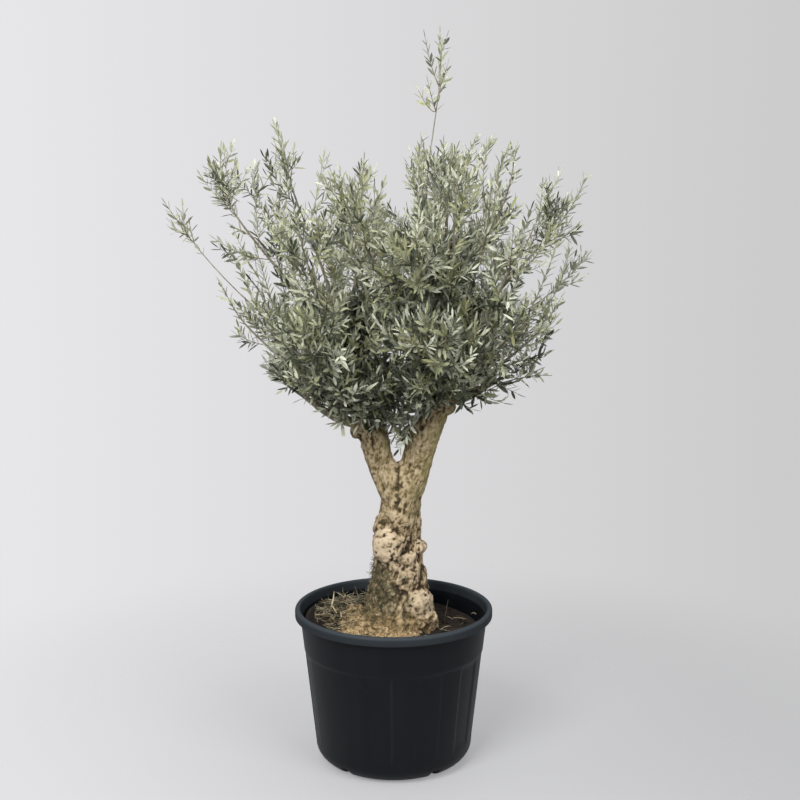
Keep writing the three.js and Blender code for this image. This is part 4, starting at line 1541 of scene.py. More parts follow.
@dataclass
class Boughs:
    """The short boughs that were left on the limbs."""

    plans: tuple[BoughPlan, ...] = (
        BoughPlan("bough_left", "left", 0.6, 182, 66, 165),
        BoughPlan("bough_left_front", "left", 0.66, 244, 58, 160),
        BoughPlan("bough_left_back", "left", 0.63, 122, 60, 165),
        BoughPlan("bough_left_top", "left", 1, 184, 30, 190),
        BoughPlan("bough_right", "right", 0.44, 357, 68, 140),
        BoughPlan("bough_right_front", "right", 0.48, 290, 58, 165),
        BoughPlan("bough_right_back", "right", 0.46, 66, 60, 165),
        BoughPlan("bough_high_right", "right", 0.7, 354, 40, 150),
        BoughPlan("bough_high_front", "right", 0.76, 258, 38, 140),
        BoughPlan("bough_high_back", "right", 0.8, 96, 38, 130),
        BoughPlan("bough_high_top", "right", 1, 350, 8, 110),
    )
    habit: Habit = Habit(60, 0.4, 0.35)
    root_radius: float = 12.0
    tip_radius: float = 7.0
    collar: float = 1.45
    voxel: float = 2.2

    def grow(self, limbs: dict[str, Limb]) -> list[Bough]:
        """Grows the boughs from the limbs.

        Args:
            limbs: The limbs by name.

        Returns:
            The boughs.
        """
        grown = []
        for plan in self.plans:
            carrier = limbs[plan.carrier]
            end = carrier.path.point(plan.at) + plan.way * plan.length
            root = carrier.radius(1) * 0.8 if plan.at == 1 else self.root_radius
            radii = (root * self.collar, root * 1.12, root, lerp(root, self.tip_radius, 0.6), self.tip_radius)
            grown.append(Bough(plan, grow_shoot(carrier, plan.at, end, self.habit, radii)))
        return grown

    def build(self, boughs: list[Bough]) -> None:
        """Gives the boughs their skin, with knuckles and shallow furrows.

        Args:
            boughs: The grown boughs.
        """
        bm = bmesh.new()
        for number, bough in enumerate(boughs):
            def swell(angle: float, share: float, seed: int = number) -> float:
                """The knuckles of one bough."""
                way = Vector((cos(angle), sin(angle), share * 7 + seed * 9))
                return 1 + 0.16 * noise.noise(way)
            extruded_limb(bm, bough.limb, 14, 26, swell)
        skin = fused(bm, self.voxel, 2)
        moved = []
        for vertex in skin.verts:
            place = vertex.co
            furrows = noise.fractal(Vector((place.x, place.y, place.z * 0.5)) / 9, 0.9, 2.0, 3)
            moved.append(place + vertex.normal * furrows * 1.1)
        for vertex, place in zip(skin.verts, moved):
            vertex.co = place
        mesh = mesh_of(skin, "boughs", [YoungBark("young_bark").material()])
        in_place("boughs", mesh, [bough.plan.name for bough in boughs])


# Crown


class Region(Enum):
    """Where in the crown a mass of foliage stands."""

    TOP = "top"
    SIDE = "side"
    INSIDE = "inside"
    LEADING = "leading"


@dataclass(frozen=True)
class Tier:
    """A ring of masses of one tilt. Each place is the bearing and the reach of a mass's outermost leaf."""

    name: str
    tilt: float
    span: float
    region: Region
    places: tuple[Pair, ...]


@dataclass
class Mass:
    """A mass of foliage round one stem."""

    name: str
    bearing: float
    tilt: float
    reach: float
    span: float
    region: Region
    bare: float = 0.0
    leafy: float = 0.82
    number: int = 0
    draw: Draws | None = None
    stem: Limb | None = None
    centre: Vector = field(default_factory=Vector)


@dataclass
class Leaves:
    """The leaves of one piece, row by row: root, direction, upward side, length, width, curl and tones."""

    rows: list[tuple[float, ...]] = field(default_factory=list)

    RINGS = ((0.27, 0.90), (0.70, 0.90))

    def add(self, root: Vector, way: Vector, above: Vector, sizes: Triple, tones: tuple[int, int]) -> None:
        """Adds a leaf: its root, direction and upward side, its length, width and curl, and its tones."""
        self.rows.append((*root, *way, *above, *sizes, *tones))

    def gather(self, target: Gathering) -> None:
        """Makes all leaves at once: a folded blade with a keel under it, pointed at both ends.

        Args:
            target: The gathering that takes them.
        """
        table = np.array(self.rows)
        root, way, above = table[:, 0:3], table[:, 3:6], table[:, 6:9]
        length, width, curl = (table[:, i : i + 1] for i in (9, 10, 11))
        across = np.cross(above, way)

        def place(share: float, side: float, rise: float) -> np.ndarray:
            """The place of one point of every leaf."""
            drop = curl * length * share**2
            return root + way * length * share + across * width * side / 2 + above * (width * rise - drop)

        points = []
        for share, wide in self.RINGS:
            points += [place(share, -wide, 0.13 * wide), place(share, 0.0, 0.045)]
            points += [place(share, wide, 0.13 * wide), place(share, 0.0, -0.055)]
        points += [place(0.0, 0.0, 0.0), place(1.0, 0.0, 0.02)]
        plan: list[tuple[int, ...]] = []
        sides: list[int] = []
        last = 4 * (len(self.RINGS) - 1)
        for side in range(4):
            after = (side + 1) % 4
            for at in range(0, last, 4):
                plan.append((at + side, at + 4 + side, at + 4 + after, at + after))
            plan += [(len(points) - 2, side, after), (len(points) - 1, last + after, last + side)]
            sides += [0 if side < 2 else 1] * (len(self.RINGS) + 1)
        finishes = np.where(np.array(sides) == 0, table[:, 12:13], table[:, 13:14]).astype(int)
        target.add(np.stack(points, axis=1), plan, finishes)


@dataclass(frozen=True)
class LeafStyle:
    """How many twigs a stem of a region has, how its side shoots grow and how leaves sit on them all."""

    twigs: int
    spacing: float
    length: float
    width: float
    opening: float
    shoot_open: float
    bushy: float
    curl: float
    tones: tuple[float, ...]
    silver: float


@dataclass
class Crown:
    """Stems, twigs, side shoots and leaves, grown from the boughs in the masses of the solids."""

    centre: Triple = (20.0, 0.0, 900.0)
    tiers: tuple[Tier, ...] = (
        Tier("crest", 10, 130, Region.TOP, ((184, 640), (2, 680), (300, 640))),
        Tier("upper", 25, 150, Region.TOP,
             ((181, 745), (236, 655), (300, 665), (358, 715), (64, 670), (124, 680))),
        Tier("shoulder", 39, 150, Region.SIDE,
             ((184, 775), (230, 650), (276, 600), (322, 640), (357, 685), (48, 650), (112, 640))),
        Tier("flank", 58, 140, Region.SIDE,
             ((189, 572), (234, 510), (280, 490), (320, 500), (351, 508), (60, 500), (128, 515))),
        Tier("low", 77, 120, Region.INSIDE,
             ((180, 390), (234, 350), (304, 340), (1, 375), (60, 350), (122, 360))),
    )
    inner: tuple[Mass, ...] = (
        Mass("heart_left", 205, 22, 360, 120, Region.INSIDE),
        Mass("heart_front", 280, 34, 350, 120, Region.INSIDE),
        Mass("heart_back", 92, 30, 350, 120, Region.INSIDE),
        Mass("skirt_left", 240, 76, 225, 80, Region.INSIDE),
        Mass("skirt_front", 270, 60, 240, 90, Region.INSIDE),
        Mass("skirt_right", 296, 74, 225, 76, Region.INSIDE),
    )
    leading: tuple[Mass, ...] = (
        Mass("spire", 2, 6.3, 930, 60, Region.LEADING, 0.5, 0.76),
        Mass("outlier_left", 172, 51, 805, 64, Region.LEADING, 0.55, 0.8),
        Mass("outlier_right", 12, 53, 635, 64, Region.LEADING, 0.45, 0.7),
    )
    first_seed: int = 101
    source_leaf: float = 90.0
    tip_short: float = 28.0
    stem_habit: Habit = Habit(50, 0.3, 0.45)
    stem_radii: tuple[float, ...] = (6.4, 4.6, 3.4, 2.4, 1.5)
    leading_radii: tuple[float, ...] = (5.0, 2.6, 1.6, 1.2, 0.9)
    stem_spacing: float = 0.15
    opener: dict[str, Pair] = field(default_factory=lambda: {
        "shoulder_1": (0.3, 0.55), "upper_1": (0.4, 0.7), "flank_1": (0.25, 0.45), "low_1": (0.2, 0.45),
        "shoulder_4": (0.25, 0.55), "shoulder_5": (0.3, 0.35), "upper_4": (0.45, 0.5), "flank_5": (0.2, 0.6),
        "flank_4": (0.2, 0.7), "low_4": (0.25, 0.4), "low_3": (0.1, 0.55), "upper_2": (0.3, 0.75),
        "spire": (0.5, 0.55), "outlier_left": (0.7, 0.5), "outlier_right": (0.5, 0.5),
    })
    sprays: dict[str, tuple[Spray, ...]] = field(default_factory=lambda: {
        "upper_4": ((0.5, (200, 20, 1450), (236, 24, 1556)), (0.55, (215, -20, 1470), (232, -24, 1542)),
            (0.65, (250, -10, 1460), (276, -10, 1532))),
        "upper_5": ((0.75, (170, 150, 1490), (206, 140, 1560)),),
        "shoulder_1": ((0.8, (-408, -10, 1440), (-414, -6, 1530)),),
        "shoulder_5": ((0.45, (350, -20, 1370), (404, -14, 1478)),
            (0.6, (415, -10, 1370), (462, -4, 1462))),
        "flank_1": ((0.3, (-270, -40, 1120), (-342, -36, 1252)),
            (0.4, (-300, 30, 1130), (-352, 40, 1215)), (0.45, (-335, -30, 1170), (-392, -30, 1290)),
            (0.35, (-290, -20, 1150), (-330, -20, 1290))),
        "upper_1": ((0.85, (-265, 0, 1520), (-282, 4, 1588)),),
        "crest_3": ((0.7, (60, -60, 1470), (68, -64, 1548)),),
        "flank_5": ((0.45, (345, -50, 1180), (380, -60, 1275)),
            (0.65, (400, -20, 1200), (425, -10, 1290))),
        "spire": ((0.76, (84, -8, 1628), (60, -10, 1668)), (0.88, (92, 6, 1722), (76, 8, 1790))),
        "skirt_front": ((0.4, (34, -90, 900), (26, -96, 838)), (0.3, (24, -60, 870), (14, -40, 806))),
        "skirt_left": ((0.4, (-20, -96, 910), (6, -104, 842)), (0.5, (-66, -104, 912), (-84, -118, 878)),
            (0.3, (-40, -104, 905), (-48, -122, 872)), (0.7, (-104, -90, 918), (-128, -100, 892)),
            (0.8, (-108, -100, 902), (-120, -118, 872))),
        "low_1": ((0.06, (-140, -48, 918), (-172, -76, 908)), (0.2, (-190, -44, 945), (-222, -70, 934)),
            (0.34, (-235, -36, 965), (-266, -56, 956)), (0.03, (-120, -70, 900), (-138, -98, 882))),
        "low_4": ((0.1, (196, -60, 944), (230, -86, 930)), (0.3, (258, -50, 966), (298, -66, 948)),
            (0.5, (330, -54, 988), (384, -58, 990)), (0.05, (172, -76, 935), (186, -104, 916)),
            (0.2, (222, -76, 946), (262, -100, 930))),
    })
    gaps: tuple[Triple, ...] = (
        (-413, 1370, 40), (-413, 1165, 34), (-413, 1085, 34), (-339, 1530, 32), (-193, 1480, 30),
        (14, 1420, 36), (322, 1500, 38), (328, 1412, 36), (-193, 1570, 30), (90, 1640, 34),
        (318, 1345, 30), (-120, 1570, 26), (-229, 1560, 30), (-478, 1415, 46), (484, 1375, 46),
        (60, 1560, 24), (-170, 1420, 26), (200, 1385, 24), (-193, 1530, 28), (-119, 1492, 26),
    )
    twig_first: float = 0.1
    twig_last: float = 0.97
    twig_uneven: float = 0.6
    twig_open_low: float = 50.0
    twig_open_tip: float = 30.0
    twig_stray: float = 40.0
    twig_lift: float = 0.2
    twig_lengths: Pair = (0.8, 1.2)
    twig_upper: float = 0.45
    twig_on: float = 46.0
    twig_on_share: float = 0.3
    twig_least: float = 30.0
    twig_pulls: Pair = (0.2, 0.08)
    twig_drawn_in: float = -12.0
    twig_ends_in: float = -30.0
    twig_clears: float = 6.0
    side_every: float = 24.0
    side_part: float = 0.8
    side_shares: Pair = (0.15, 0.9)
    side_uneven: Pair = (0.3, 0.4)
    side_opening: float = 14.0
    side_lengths: Pair = (0.35, 0.6)
    side_upper: float = 0.4
    side_least: float = 18.0
    side_lift: float = 0.25
    side_ends_in: float = -20.0
    side_clears: float = 4.0
    leaf_uneven: float = 0.5
    leaf_youngest: float = 0.72
    leaf_openings: Pair = (1.3, 0.8)
    leaf_stray: Pair = (16.0, 4.0)
    leaf_turn: float = 26.0
    leaf_shift: float = 1.5
    leaf_clears: float = 1.5
    leaf_gaps: float = 0.07
    leaf_roll: float = 42.0
    leaf_sizes: Pair = (0.72, 1.18)
    leaf_widths: Pair = (0.85, 1.15)
    leaf_curls: Pair = (-0.4, 1.9)
    tip_leaf: Triple = (0.8, 0.75, 0.5)
    tip_room: float = 24.0
    floor_room: float = 12.0
    sprouts: int = 14
    sprout_first: float = 0.3
    sprout_lengths: Pair = (60.0, 135.0)
    sprout_openings: Pair = (45.0, 75.0)
    sprout_upward: float = 0.25
    sprout_depth: float = 0.7
    sprout_floor: float = 25.0
    sprout_lift: float = 0.1
    sprout_onward: float = 0.8
    sprout_cut: float = 0.45
    undersides: tuple[tuple[Pair, ...], ...] = (
        ((0, 790), (30, 800), (50, 836), (119, 850), (150, 872), (192, 920), (282, 974), (384, 1012),
         (466, 1169)),
        ((0, 790), (30, 800), (50, 840), (145, 908), (200, 946), (276, 976), (376, 1006), (410, 1169)),
    )
    fringe: float = 30.0
    hanging: float = 60.0
    fringe_waves: Pair = (7.5, 11.0)
    styles: dict[Region, LeafStyle] = field(default_factory=lambda: {
        Region.TOP: LeafStyle(
            10, 14.0, 31, 6.9, 31, 30, 0.5, 0.06, (0.32, 0.22, 0.19, 0.015, 0.175, 0.08), 0.5
        ),
        Region.SIDE: LeafStyle(
            12, 13.0, 32, 7.2, 36, 36, 0.75, 0.08, (0.27, 0.21, 0.27, 0.01, 0.15, 0.09), 0.5
        ),
        # Inner masses deal half their sprays the near-black third tone: painted shade in the heart of the
        # crown
        Region.INSIDE: LeafStyle(
            15, 13.0, 35, 8.6, 46, 44, 0.85, 0.11, (0.135, 0.155, 0.50, 0.004, 0.086, 0.12), 0.6
        ),
        Region.LEADING: LeafStyle(
            8, 17.0, 30, 6.6, 32, 34, 0.3, 0.06, (0.34, 0.26, 0.18, 0.01, 0.16, 0.05), 0.4
        ),
    })
    upper_faces: tuple[LeafFace, ...] = (
        LeafFace("leaf_sage", (0.33, 0.345, 0.20), 0.5),
        LeafFace("leaf_grey", (0.45, 0.465, 0.335), 0.55),
        # A near-black leaf colour that stands for shaded leaves: painted shade, dealt to sprays in every
        # region and most of all inside
        LeafFace("leaf_deep", (0.050, 0.060, 0.034), 0.45),
        LeafFace("leaf_young", (0.36, 0.38, 0.15), 0.5),
        LeafFace("leaf_olive", (0.21, 0.215, 0.10), 0.5),
        LeafFace("leaf_pale", (0.56, 0.585, 0.455), 0.6),
    )
    under_faces: tuple[LeafFace, ...] = (
        LeafFace("leaf_silver", (0.52, 0.54, 0.43), 0.75),
        LeafFace("leaf_felt", (0.38, 0.395, 0.28), 0.75),
    )

    def floor_at(self, x: float, y: float) -> float:
        """The height under which no leaf hangs at a place: the left underside, turning to the right one."""
        left, right = (float(np.interp(hypot(x, y), *zip(*side))) for side in self.undersides)
        return lerp(left, right, 0.5 + 0.5 * x / max(hypot(x, y), 1.0))

    def leaf_floor(self, tip: Vector, hangs: bool) -> float:
        """The height under which no leaf's tip hangs: the underside, let down here and there as a fringe."""
        wave = sin(tip.x / self.fringe_waves[0]) * sin(tip.y / self.fringe_waves[1])
        return self.floor_at(tip.x, tip.y) - (self.hanging if hangs else self.fringe * max(wave, 0.0))

    def masses(self) -> list[Mass]:
        """All masses, in the order of the solids.

        Returns:
            The masses, each with its own stream of numbers.
        """
        tiered = [
            Mass(f"{tier.name}_{i + 1}", bearing, tier.tilt, reach, tier.span, tier.region)
            for tier in self.tiers
            for i, (bearing, reach) in enumerate(tier.places)
        ]
        every = [*tiered, *self.inner, *self.leading]
        for number, mass in enumerate(every):
            mass.number, mass.draw = number, Draws(self.first_seed + number)
        return every

    def tip(self, mass: Mass) -> Vector:
        """Where the stem of a mass ends."""
        return Vector(self.centre) + heading(mass.bearing, mass.tilt) * (mass.reach - self.source_leaf)

    def grow_stems(self, masses: list[Mass], boughs: list[Bough]) -> None:
        """Gives each mass the bough whose line points nearest its tip, and grows its stem from there.

        Args:
            masses: The masses, which get their stems.
            boughs: The boughs.
        """
        choices = []
        for mass in masses:
            tip = self.tip(mass)
            angles = [(tip - bough.limb.path.point(0.6)).angle(bough.plan.way) for bough in boughs]
            choices.append((min(angles), mass, boughs[angles.index(min(angles))]))
        choices.sort(key=lambda choice: choice[0])
        for _, mass, bough in choices:
            at = 1 - self.stem_spacing * bough.carried
            bough.carried += 1
            radii = self.leading_radii if mass.region is Region.LEADING else self.stem_radii
            mass.stem = grow_shoot(bough.limb, at, self.tip(mass), self.stem_habit, radii)
            mass.centre = mass.stem.path.point(lerp(mass.bare, 1, 0.6))


@dataclass
class Shoot(Path):
    """A twig or side shoot as a bent line, with the radius of its root and where its leaves start."""

    STEP = 0.02

    start: Vector
    bend: Vector
    end: Vector
    radius: float
    leafy: float

    def point(self, share: float) -> Vector:
        """The place at a share of the line."""
        rest, handle = 1 - share, self.bend * 2 - (self.start + self.end) / 2
        return self.start * rest**2 + handle * (2 * share * rest) + self.end * share**2

    @property
    def length(self) -> float:
        """The length, by way of the bend."""
        return (self.bend - self.start).length + (self.end - self.bend).length


class Growth:
    """Grows the twigs, side shoots and leaves of a crown, clear of the wood and in each mass's own space."""

    STEM_POINTS = 13
    LINE_POINTS = 5
    # The radius of each kind of shoot, and the share of it at which its leaves start
    SPRAY, TWIG, TIP, SIDE, SPROUT = (1.7, 0.3), (1.5, 0.15), (1.4, 0.0), (1.0, 0.1), (1.6, 0.12)

    def __init__(self, crown: Crown, limbs: dict[str, Limb], boughs: list[Bough]) -> None:
        """Lays out the stems.

        Args:
            crown: The crown's sizes.
            limbs: The trunk and limbs.
            boughs: The boughs.
        """
        self.crown = crown
        self.masses = crown.masses()
        crown.grow_stems(self.masses, boughs)
        wood = [*limbs.values(), *(bough.limb for bough in boughs)]
        pieces = [piece for limb in wood for piece in limb.stretches(8)]
        self.wood_from = np.array([piece[0] for piece in pieces])
        self.wood_way = np.array([piece[1] for piece in pieces]) - self.wood_from
        self.wood_radius = np.array([piece[2] for piece in pieces])
        self.centres = np.array([mass.centre for mass in self.masses])
        self.sprouting = [limbs["left"], limbs["right"], *(bough.limb for bough in boughs)]
        self.shoots: list[Shoot] = []
        self.leaves = Leaves()

    def clear_of_wood(self, places: Sequence[Vector], room: float) -> bool:
        """Whether places keep clear of the trunk, limbs and boughs.

        Args:
            places: The places, in millimetres.
            room: The least distance from the wood.

        Returns:
            Whether all of them do.
        """
        points = np.array(places)[:, None]
        share = ((points - self.wood_from) * self.wood_way).sum(-1) / (self.wood_way**2).sum(-1)
        nearest = self.wood_from + np.clip(share, 0, 1)[..., None] * self.wood_way
        return bool((np.linalg.norm(points - nearest, axis=-1) > self.wood_radius + room).all())

    def has_room(self, mass: Mass, place: Vector, margin: float) -> bool:
        """Whether a place lies in a mass's own space: nearer its centre than any other, and in its reach.

        Args:
            mass: The mass.
            place: The place, in millimetres.
            margin: How far inside its own space the place must lie.

        Returns:
            Whether a shoot may end there.
        """
        crown, number = self.crown, mass.number
        if (place - Vector(crown.centre)).length > mass.reach - crown.tip_room:
            return False
        if place.z < crown.floor_at(place.x, place.y) + crown.floor_room:
            return False
        if any(hypot(place.x - x, place.z - z) < radius for x, z, radius in crown.gaps):
            return False
        own = self.centres[number]
        apart = np.linalg.norm(self.centres - own, axis=1)
        apart[number] = 1.0
        point = np.array(place)
        over = ((point - self.centres) ** 2).sum(1) - ((point - own) ** 2).sum()
        over[number] = np.inf
        return bool((over / (2 * apart) > margin).all())

    def twigs(self, mass: Mass) -> list[Shoot]:
        """The twigs that leave a stem by the golden angle, and the shoot that carries on its tip.

        Args:
            mass: The mass.

        Returns:
            The twigs.
        """
        crown, draw, line = self.crown, mass.draw, mass.stem.path
        first, share_of_twigs = crown.opener.get(mass.name, (crown.twig_first, 1.0))
        count = round(crown.styles[mass.region].twigs * share_of_twigs)
        longer = min(crown.twig_on, crown.twig_on_share * mass.span)
        sprays = crown.sprays.get(mass.name, ())
        grown = [Shoot(line.point(at), Vector(bend), Vector(end), *self.SPRAY) for at, bend, end in sprays]
        least = crown.twig_least
        for k in range(count):
            share = lerp(first, crown.twig_last, (k + crown.twig_uneven * draw()) / count)
            at = lerp(mass.bare, 1, share)
            opening = lerp(crown.twig_open_low, crown.twig_open_tip, share)
            way = branching(line.tangent(at), opening, GOLDEN_ANGLE * k + crown.twig_stray * draw())
            length = mass.span * lerp(1, crown.twig_upper, share) * draw.between(*crown.twig_lengths) + longer
            start = line.point(at)
            bend, end = bent(start, way, length, crown.twig_lift)
            while not self.has_room(mass, end, crown.twig_drawn_in) and (end - start).length > least:
                end = end.lerp(bend, crown.twig_pulls[0])
                bend = bend.lerp(start, crown.twig_pulls[1])
            fits = (end - start).length > least and self.has_room(mass, end, crown.twig_ends_in)
            if fits and self.clear_of_wood([bend, end], crown.twig_clears):
                grown.append(Shoot(start, bend, end, *self.TWIG))
        tip, onward = line.point(1), line.tangent(1)
        reach = crown.source_leaf - crown.tip_short
        grown.append(Shoot(tip, tip + onward * reach * 0.5, tip + onward * reach, *self.TIP))
        return grown

    def side_shoots(self, mass: Mass, twig: Shoot, style: LeafStyle) -> list[Shoot]:
        """The finer shoots of a twig, in turning pairs.

        Args:
            mass: The mass.
            twig: The twig.
            style: How they grow.

        Returns:
            The side shoots.
        """
        crown, draw = self.crown, mass.draw
        pairs = int(twig.length * crown.side_part / crown.side_every)
        low, uneven = crown.side_uneven
        grown = []
        for k in range(pairs):
            share = lerp(*crown.side_shares, (k + low + uneven * draw()) / pairs)
            line = twig.tangent(share)
            turn = 90 * k + crown.twig_stray * draw()
            for side in (0, 180):
                if draw() > style.bushy:
                    continue
                way = branching(line, style.shoot_open + crown.side_opening * draw(), turn + side)
                length = lerp(1, crown.side_upper, share) * twig.length * draw.between(*crown.side_lengths)
                start = twig.point(share)
                bend, end = bent(start, way, length, crown.side_lift)
                fits = length > crown.side_least and self.has_room(mass, end, crown.side_ends_in)
                if fits and self.clear_of_wood([bend, end], crown.side_clears):
                    grown.append(Shoot(start, bend, end, *self.SIDE))
        return grown

    def sprouts(self) -> dict[int, list[Shoot]]:
        """Short leafy shoots that spring from the boughs and from the upper limbs, inside the crown.

        Returns:
            The shoots for each mass in whose space they end, by its number.
        """
        crown = self.crown
        draw = Draws(crown.first_seed - 1)
        grown: dict[int, list[Shoot]] = {}
        for limb in self.sprouting:
            for k in range(crown.sprouts):
                share = lerp(crown.sprout_first, 1.0, (k + draw()) / crown.sprouts)
                line = limb.path.tangent(share)
                opening = draw.between(*crown.sprout_openings)
                way = branching(line, opening, GOLDEN_ANGLE * k + crown.twig_stray * draw())
                way = (way + UP * crown.sprout_upward).normalized()
                start = limb.path.point(share) + way * limb.radius(share) * crown.sprout_depth
                length = draw.between(*crown.sprout_lengths)
                bend, end = bent(start, way, length, crown.sprout_lift)
                floor = crown.floor_at(end.x, end.y)
                if end.z < floor + crown.sprout_floor:
                    way = (way + line * crown.sprout_onward).normalized()
                    length *= crown.sprout_cut
                    bend, end = bent(start, way, length, crown.side_lift)
                    floor = crown.floor_at(end.x, end.y)
                if end.z < floor or not self.clear_of_wood([end], crown.side_clears):
                    continue
                nearest = int(np.argmin(((self.centres - np.array(end)) ** 2).sum(1)))
                grown.setdefault(nearest, []).append(Shoot(start, bend, end, *self.SPROUT))
        return grown

    def leaf_line(self, path: Path, leafy: float, length: float, style: LeafStyle, draw: Draws) -> None:
        """Puts leaves along a shoot: opposite pairs, each turned a quarter from the last, and one at its tip.

        Args:
            path: The shoot.
            leafy: Where its leaves start.
            length: Its length.
            style: How its leaves sit.
            draw: The mass's draws.
        """
        crown = self.crown
        upper = self.pick(style.tones, draw())
        tones = (upper, len(crown.upper_faces) + (0 if draw() < style.silver else 1))
        pairs = max(1, round(length * (1 - leafy) / style.spacing))
        onward, last = path.tangent(1.0), path.point(1.0)
        hangs = last.z < crown.floor_at(last.x, last.y) + crown.floor_room / 2
        turned = 90 * draw()
        wide, less = crown.leaf_stray
        for j in range(pairs):
            share = lerp(leafy, 1, (j + crown.leaf_uneven * draw()) / pairs)
            line = path.tangent(share)
            young = lerp(1.0, crown.leaf_youngest, share**3)
            for side in (0, 180):
                if draw() < crown.leaf_gaps:
                    continue
                opening = style.opening * lerp(*crown.leaf_openings, share) + wide * draw() - less
                way = branching(line, opening, turned + 90 * j + side + crown.leaf_turn * draw())
                above = (line - way * line.dot(way)).normalized()
                roll = radians(draw.between(-crown.leaf_roll, crown.leaf_roll))
                above = Matrix.Rotation(roll, 3, way) @ above
                root = path.point(share) + line * draw.between(-crown.leaf_shift, crown.leaf_shift)
                size = style.length * young * draw.between(*crown.leaf_sizes)
                width = style.width * size / style.length * draw.between(*crown.leaf_widths)
                sizes = (size, width, style.curl * draw.between(*crown.leaf_curls))
                tip = root + way * size
                hung = tip.z > crown.leaf_floor(tip, hangs)
                if hung and self.clear_of_wood([root.lerp(tip, 0.6)], crown.leaf_clears):
                    self.leaves.add(root, way, above, sizes, tones)
        if last.z > crown.leaf_floor(last, hangs):
            whole = (style.length, style.width, style.curl)
            sizes = tuple(size * part for size, part in zip(whole, crown.tip_leaf))
            self.leaves.add(last - onward, onward, branching(onward, 90, 360 * draw()), sizes, tones)

    @staticmethod
    def pick(shares: Sequence[float], drawn: float) -> int:
        """The number of the share in which a drawn number falls."""
        return next((number for number, total in enumerate(accumulate(shares)) if drawn < total), 0)

    def clothe(self, mass: Mass, sprouts: list[Shoot]) -> None:
        """Grows the twigs, side shoots and leaves of one mass.

        Args:
            mass: The mass.
            sprouts: The shoots of the boughs that end in its space.
        """
        style, inside = self.crown.styles[mass.region], self.crown.styles[Region.INSIDE]
        twigs = self.twigs(mass)
        fine = [shoot for twig in twigs for shoot in self.side_shoots(mass, twig, style)]
        finer = [shoot for twig in sprouts for shoot in self.side_shoots(mass, twig, inside)]
        for shoots, look in (([*twigs, *fine], style), ([*sprouts, *finer], inside)):
            for shoot in shoots:
                self.leaf_line(shoot, shoot.leafy, shoot.length, look, mass.draw)
            self.shoots += shoots
        stem_length = sum((b - a).length for a, b, _ in mass.stem.stretches(8))
        self.leaf_line(mass.stem.path, mass.leafy, stem_length, style, mass.draw)

    def wood_piece(self) -> None:
        """The stems, twigs and side shoots, joined."""
        gathered = Gathering()
        shares = np.linspace(0, 1, self.STEM_POINTS)
        stems = [mass.stem for mass in self.masses]
        lines = np.array([[stem.path.point(share) for share in shares] for stem in stems])
        radii = np.array([[stem.radius(share) for share in shares] for stem in stems])
        gathered.tubes(lines, radii, 7)
        shares = np.linspace(0, 1, self.LINE_POINTS)
        lines = np.array([[shoot.point(share) for share in shares] for shoot in self.shoots])
        radii = np.array([[shoot.radius * lerp(1, 0.5, share) for share in shares] for shoot in self.shoots])
        gathered.tubes(lines, radii, 3)
        mesh = gathered.mesh("twigs", [YoungBark("twig_bark").material()])
        in_place("twigs", mesh)

    def build(self) -> None:
        """Makes the leaves of each tier a piece, and then the twigs of them all."""
        faces = [*self.crown.upper_faces, *self.crown.under_faces]
        materials = [face.material() for face in faces]
        groups: dict[str, list[Mass]] = {}
        for mass in self.masses:
            tier = "leading" if mass.region is Region.LEADING else mass.name.split("_")[0]
            groups.setdefault(tier, []).append(mass)
        sprouts = self.sprouts()
        for tier, masses in groups.items():
            self.leaves = Leaves()
            for mass in masses:
                self.clothe(mass, sprouts.get(mass.number, []))
            gathered = Gathering()
            self.leaves.gather(gathered)
            mesh = gathered.mesh(f"leaves_{tier}", materials)
            in_place(f"leaves_{tier}", mesh, [mass.name for mass in masses])
            LOG.info("%d leaves on %d masses", len(self.leaves.rows), len(masses))
        LOG.info("%d shoots", len(self.shoots))
        self.wood_piece()


# Studio


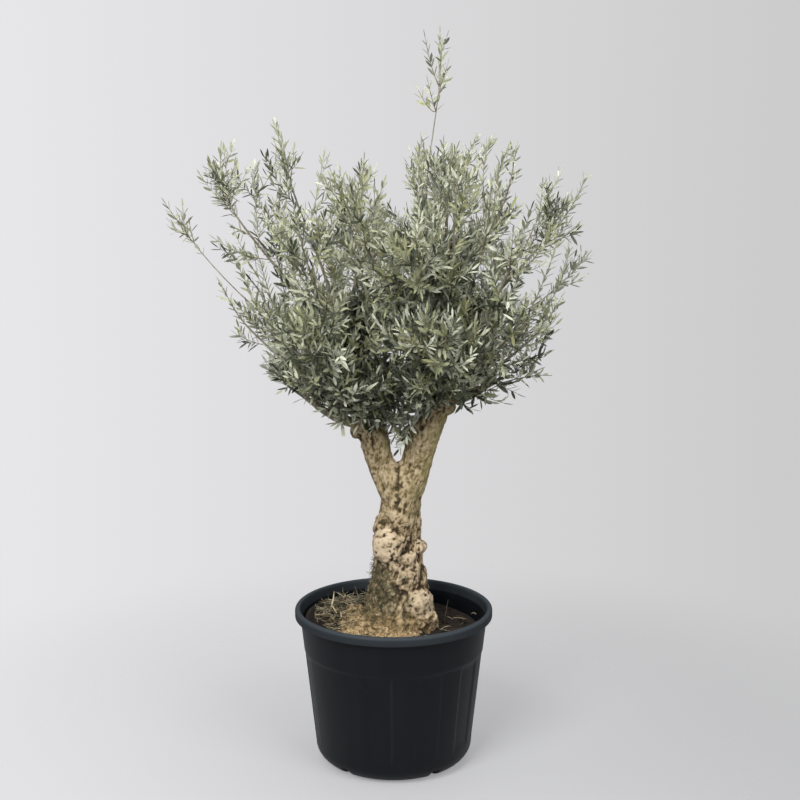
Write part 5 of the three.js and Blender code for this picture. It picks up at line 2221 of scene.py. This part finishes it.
@dataclass
class Studio:
    """A pale floor, painted darker towards the right as a painted light falloff, that fades into the
    backdrop, soft light and the camera.
    """

    camera_place: Triple = (0.016, -3.0, 1.37)
    camera_pitch: float = 8.5
    lens: float = 55.1
    floor_radius: float = 6.0
    # The floor and backdrop colours fall from left to right: painted light falloff
    floor_left: Colour = (0.54, 0.54, 0.55)
    floor_right: Colour = (0.38, 0.38, 0.39)
    fade_least: float = 0.38
    fade_from: float = 0.3
    fade_to: float = 1.9
    backdrop_left: Colour = (0.80, 0.79, 0.81)
    backdrop_right: Colour = (0.60, 0.60, 0.605)
    backdrop_reach: float = 0.3
    ambient: Colour = (0.205, 0.21, 0.22)

    def camera(self) -> None:
        """Places the camera of the photo's view."""
        lens = bpy.data.cameras.new("camera")
        lens.lens = self.lens
        lens.sensor_width = 36.0
        camera = in_scene("camera", lens)
        camera.location = self.camera_place
        camera.rotation_euler = (radians(90 - self.camera_pitch), 0.0, 0.0)
        bpy.context.scene.camera = camera

    def floor(self) -> None:
        """Lays the floor, painted lighter on the left and darker on the right as a painted light falloff,
        whose edge fades away. It is never quite opaque, so the painted backdrop shows through it.
        """
        bm = bmesh.new()
        bmesh.ops.create_circle(bm, cap_ends=True, radius=self.floor_radius / MM, segments=64)
        graph = Surface("studio_floor")
        own = graph.place((1.0, 1.0, 0.0))
        # Painted light falloff: the floor's colour darkens from left to right
        tint = graph.tint(graph.part(own, "X").ramp(0.1, 1.1), self.floor_left, self.floor_right)
        material = graph.finish(tint, 0.9)
        reach = graph.vectors("LENGTH", {0: own}, "Value")
        clear = graph.node("ShaderNodeBsdfTransparent", {}, {})
        fading = reach.ramp(self.fade_from, self.fade_to) * (1 - self.fade_least) + self.fade_least
        shaders = {0: fading, 1: graph.shader.outputs[0], 2: clear.outputs[0]}
        graph.join(graph.output, {"Surface": graph.node("ShaderNodeMixShader", {}, shaders).outputs[0]})
        floor = in_scene("floor", mesh_of(bm, "floor", [material]))

    def surroundings(self) -> None:
        """Sets the backdrop, painted lighter on the left and darker on the right as a painted light falloff,
        and the light that it gives.
        """
        world = bpy.data.worlds.new("studio")
        world.use_nodes = True
        graph = Graph(world.node_tree)
        sideways = graph.part(graph.field("ShaderNodeTexCoord", {}, {}, "Generated"), "X")
        reach = self.backdrop_reach
        # Painted light falloff: the backdrop's colour darkens from left to right
        share = graph.field("ShaderNodeMapRange", {}, {0: sideways, 1: -reach, 2: reach})
        backdrop = graph.tint(share, self.backdrop_left, self.backdrop_right)
        seen = graph.node("ShaderNodeBackground", {}, {"Color": backdrop})
        light = graph.node("ShaderNodeBackground", {}, {"Color": (*self.ambient, 1.0)})
        straight = graph.node("ShaderNodeLightPath", {}, {}).outputs["Is Camera Ray"]
        both = {0: straight, 1: light.outputs[0], 2: seen.outputs[0]}
        mixed = graph.node("ShaderNodeMixShader", {}, both).outputs[0]
        graph.node("ShaderNodeOutputWorld", {}, {"Surface": mixed})
        bpy.context.scene.world = world
        bpy.context.scene.view_settings.view_transform = "Standard"

    def lamp(self, name: str, place: Colour, aim: Colour, size: float, power: float) -> None:
        """Hangs a square soft light.

        Args:
            name: Its name.
            place: Where it hangs, in metres.
            aim: What it points at.
            size: The length of its side.
            power: Its power, in watts.
        """
        light = bpy.data.lights.new(name, "AREA")
        light.size = size
        light.energy = power
        lamp = in_scene(name, light)
        lamp.location = place
        lamp.rotation_euler = (Vector(aim) - Vector(place)).to_track_quat("-Z", "Y").to_euler()

    def build(self) -> None:
        """Sets up the whole studio."""
        self.camera()
        self.floor()
        self.surroundings()
        self.lamp("key", (-1.5, -2.9, 3.2), (0.0, 0.0, 0.9), 1.9, 157.0)
        self.lamp("fill", (2.2, -2.6, 2.6), (0.0, 0.0, 0.8), 2.2, 70.0)
        self.lamp("top", (0.0, 0.3, 4.1), (0.0, 0.0, 0.8), 2.6, 84.0)


def main() -> None:
    """Builds the plant, its container and the studio."""
    logging.basicConfig(level=logging.INFO, format="%(message)s")
    Studio().build()
    pot, root_ball, wood, boughs = Pot(), RootBall(), OldWood(), Boughs()
    pot.build()
    root_ball.bed(pot)
    root_ball.crumbled()
    root_ball.strewn()
    wood.build()
    grown = boughs.grow(wood.limbs())
    boughs.build(grown)
    Growth(Crown(), wood.limbs(), grown).build()


if __name__ == "__main__":
    main()
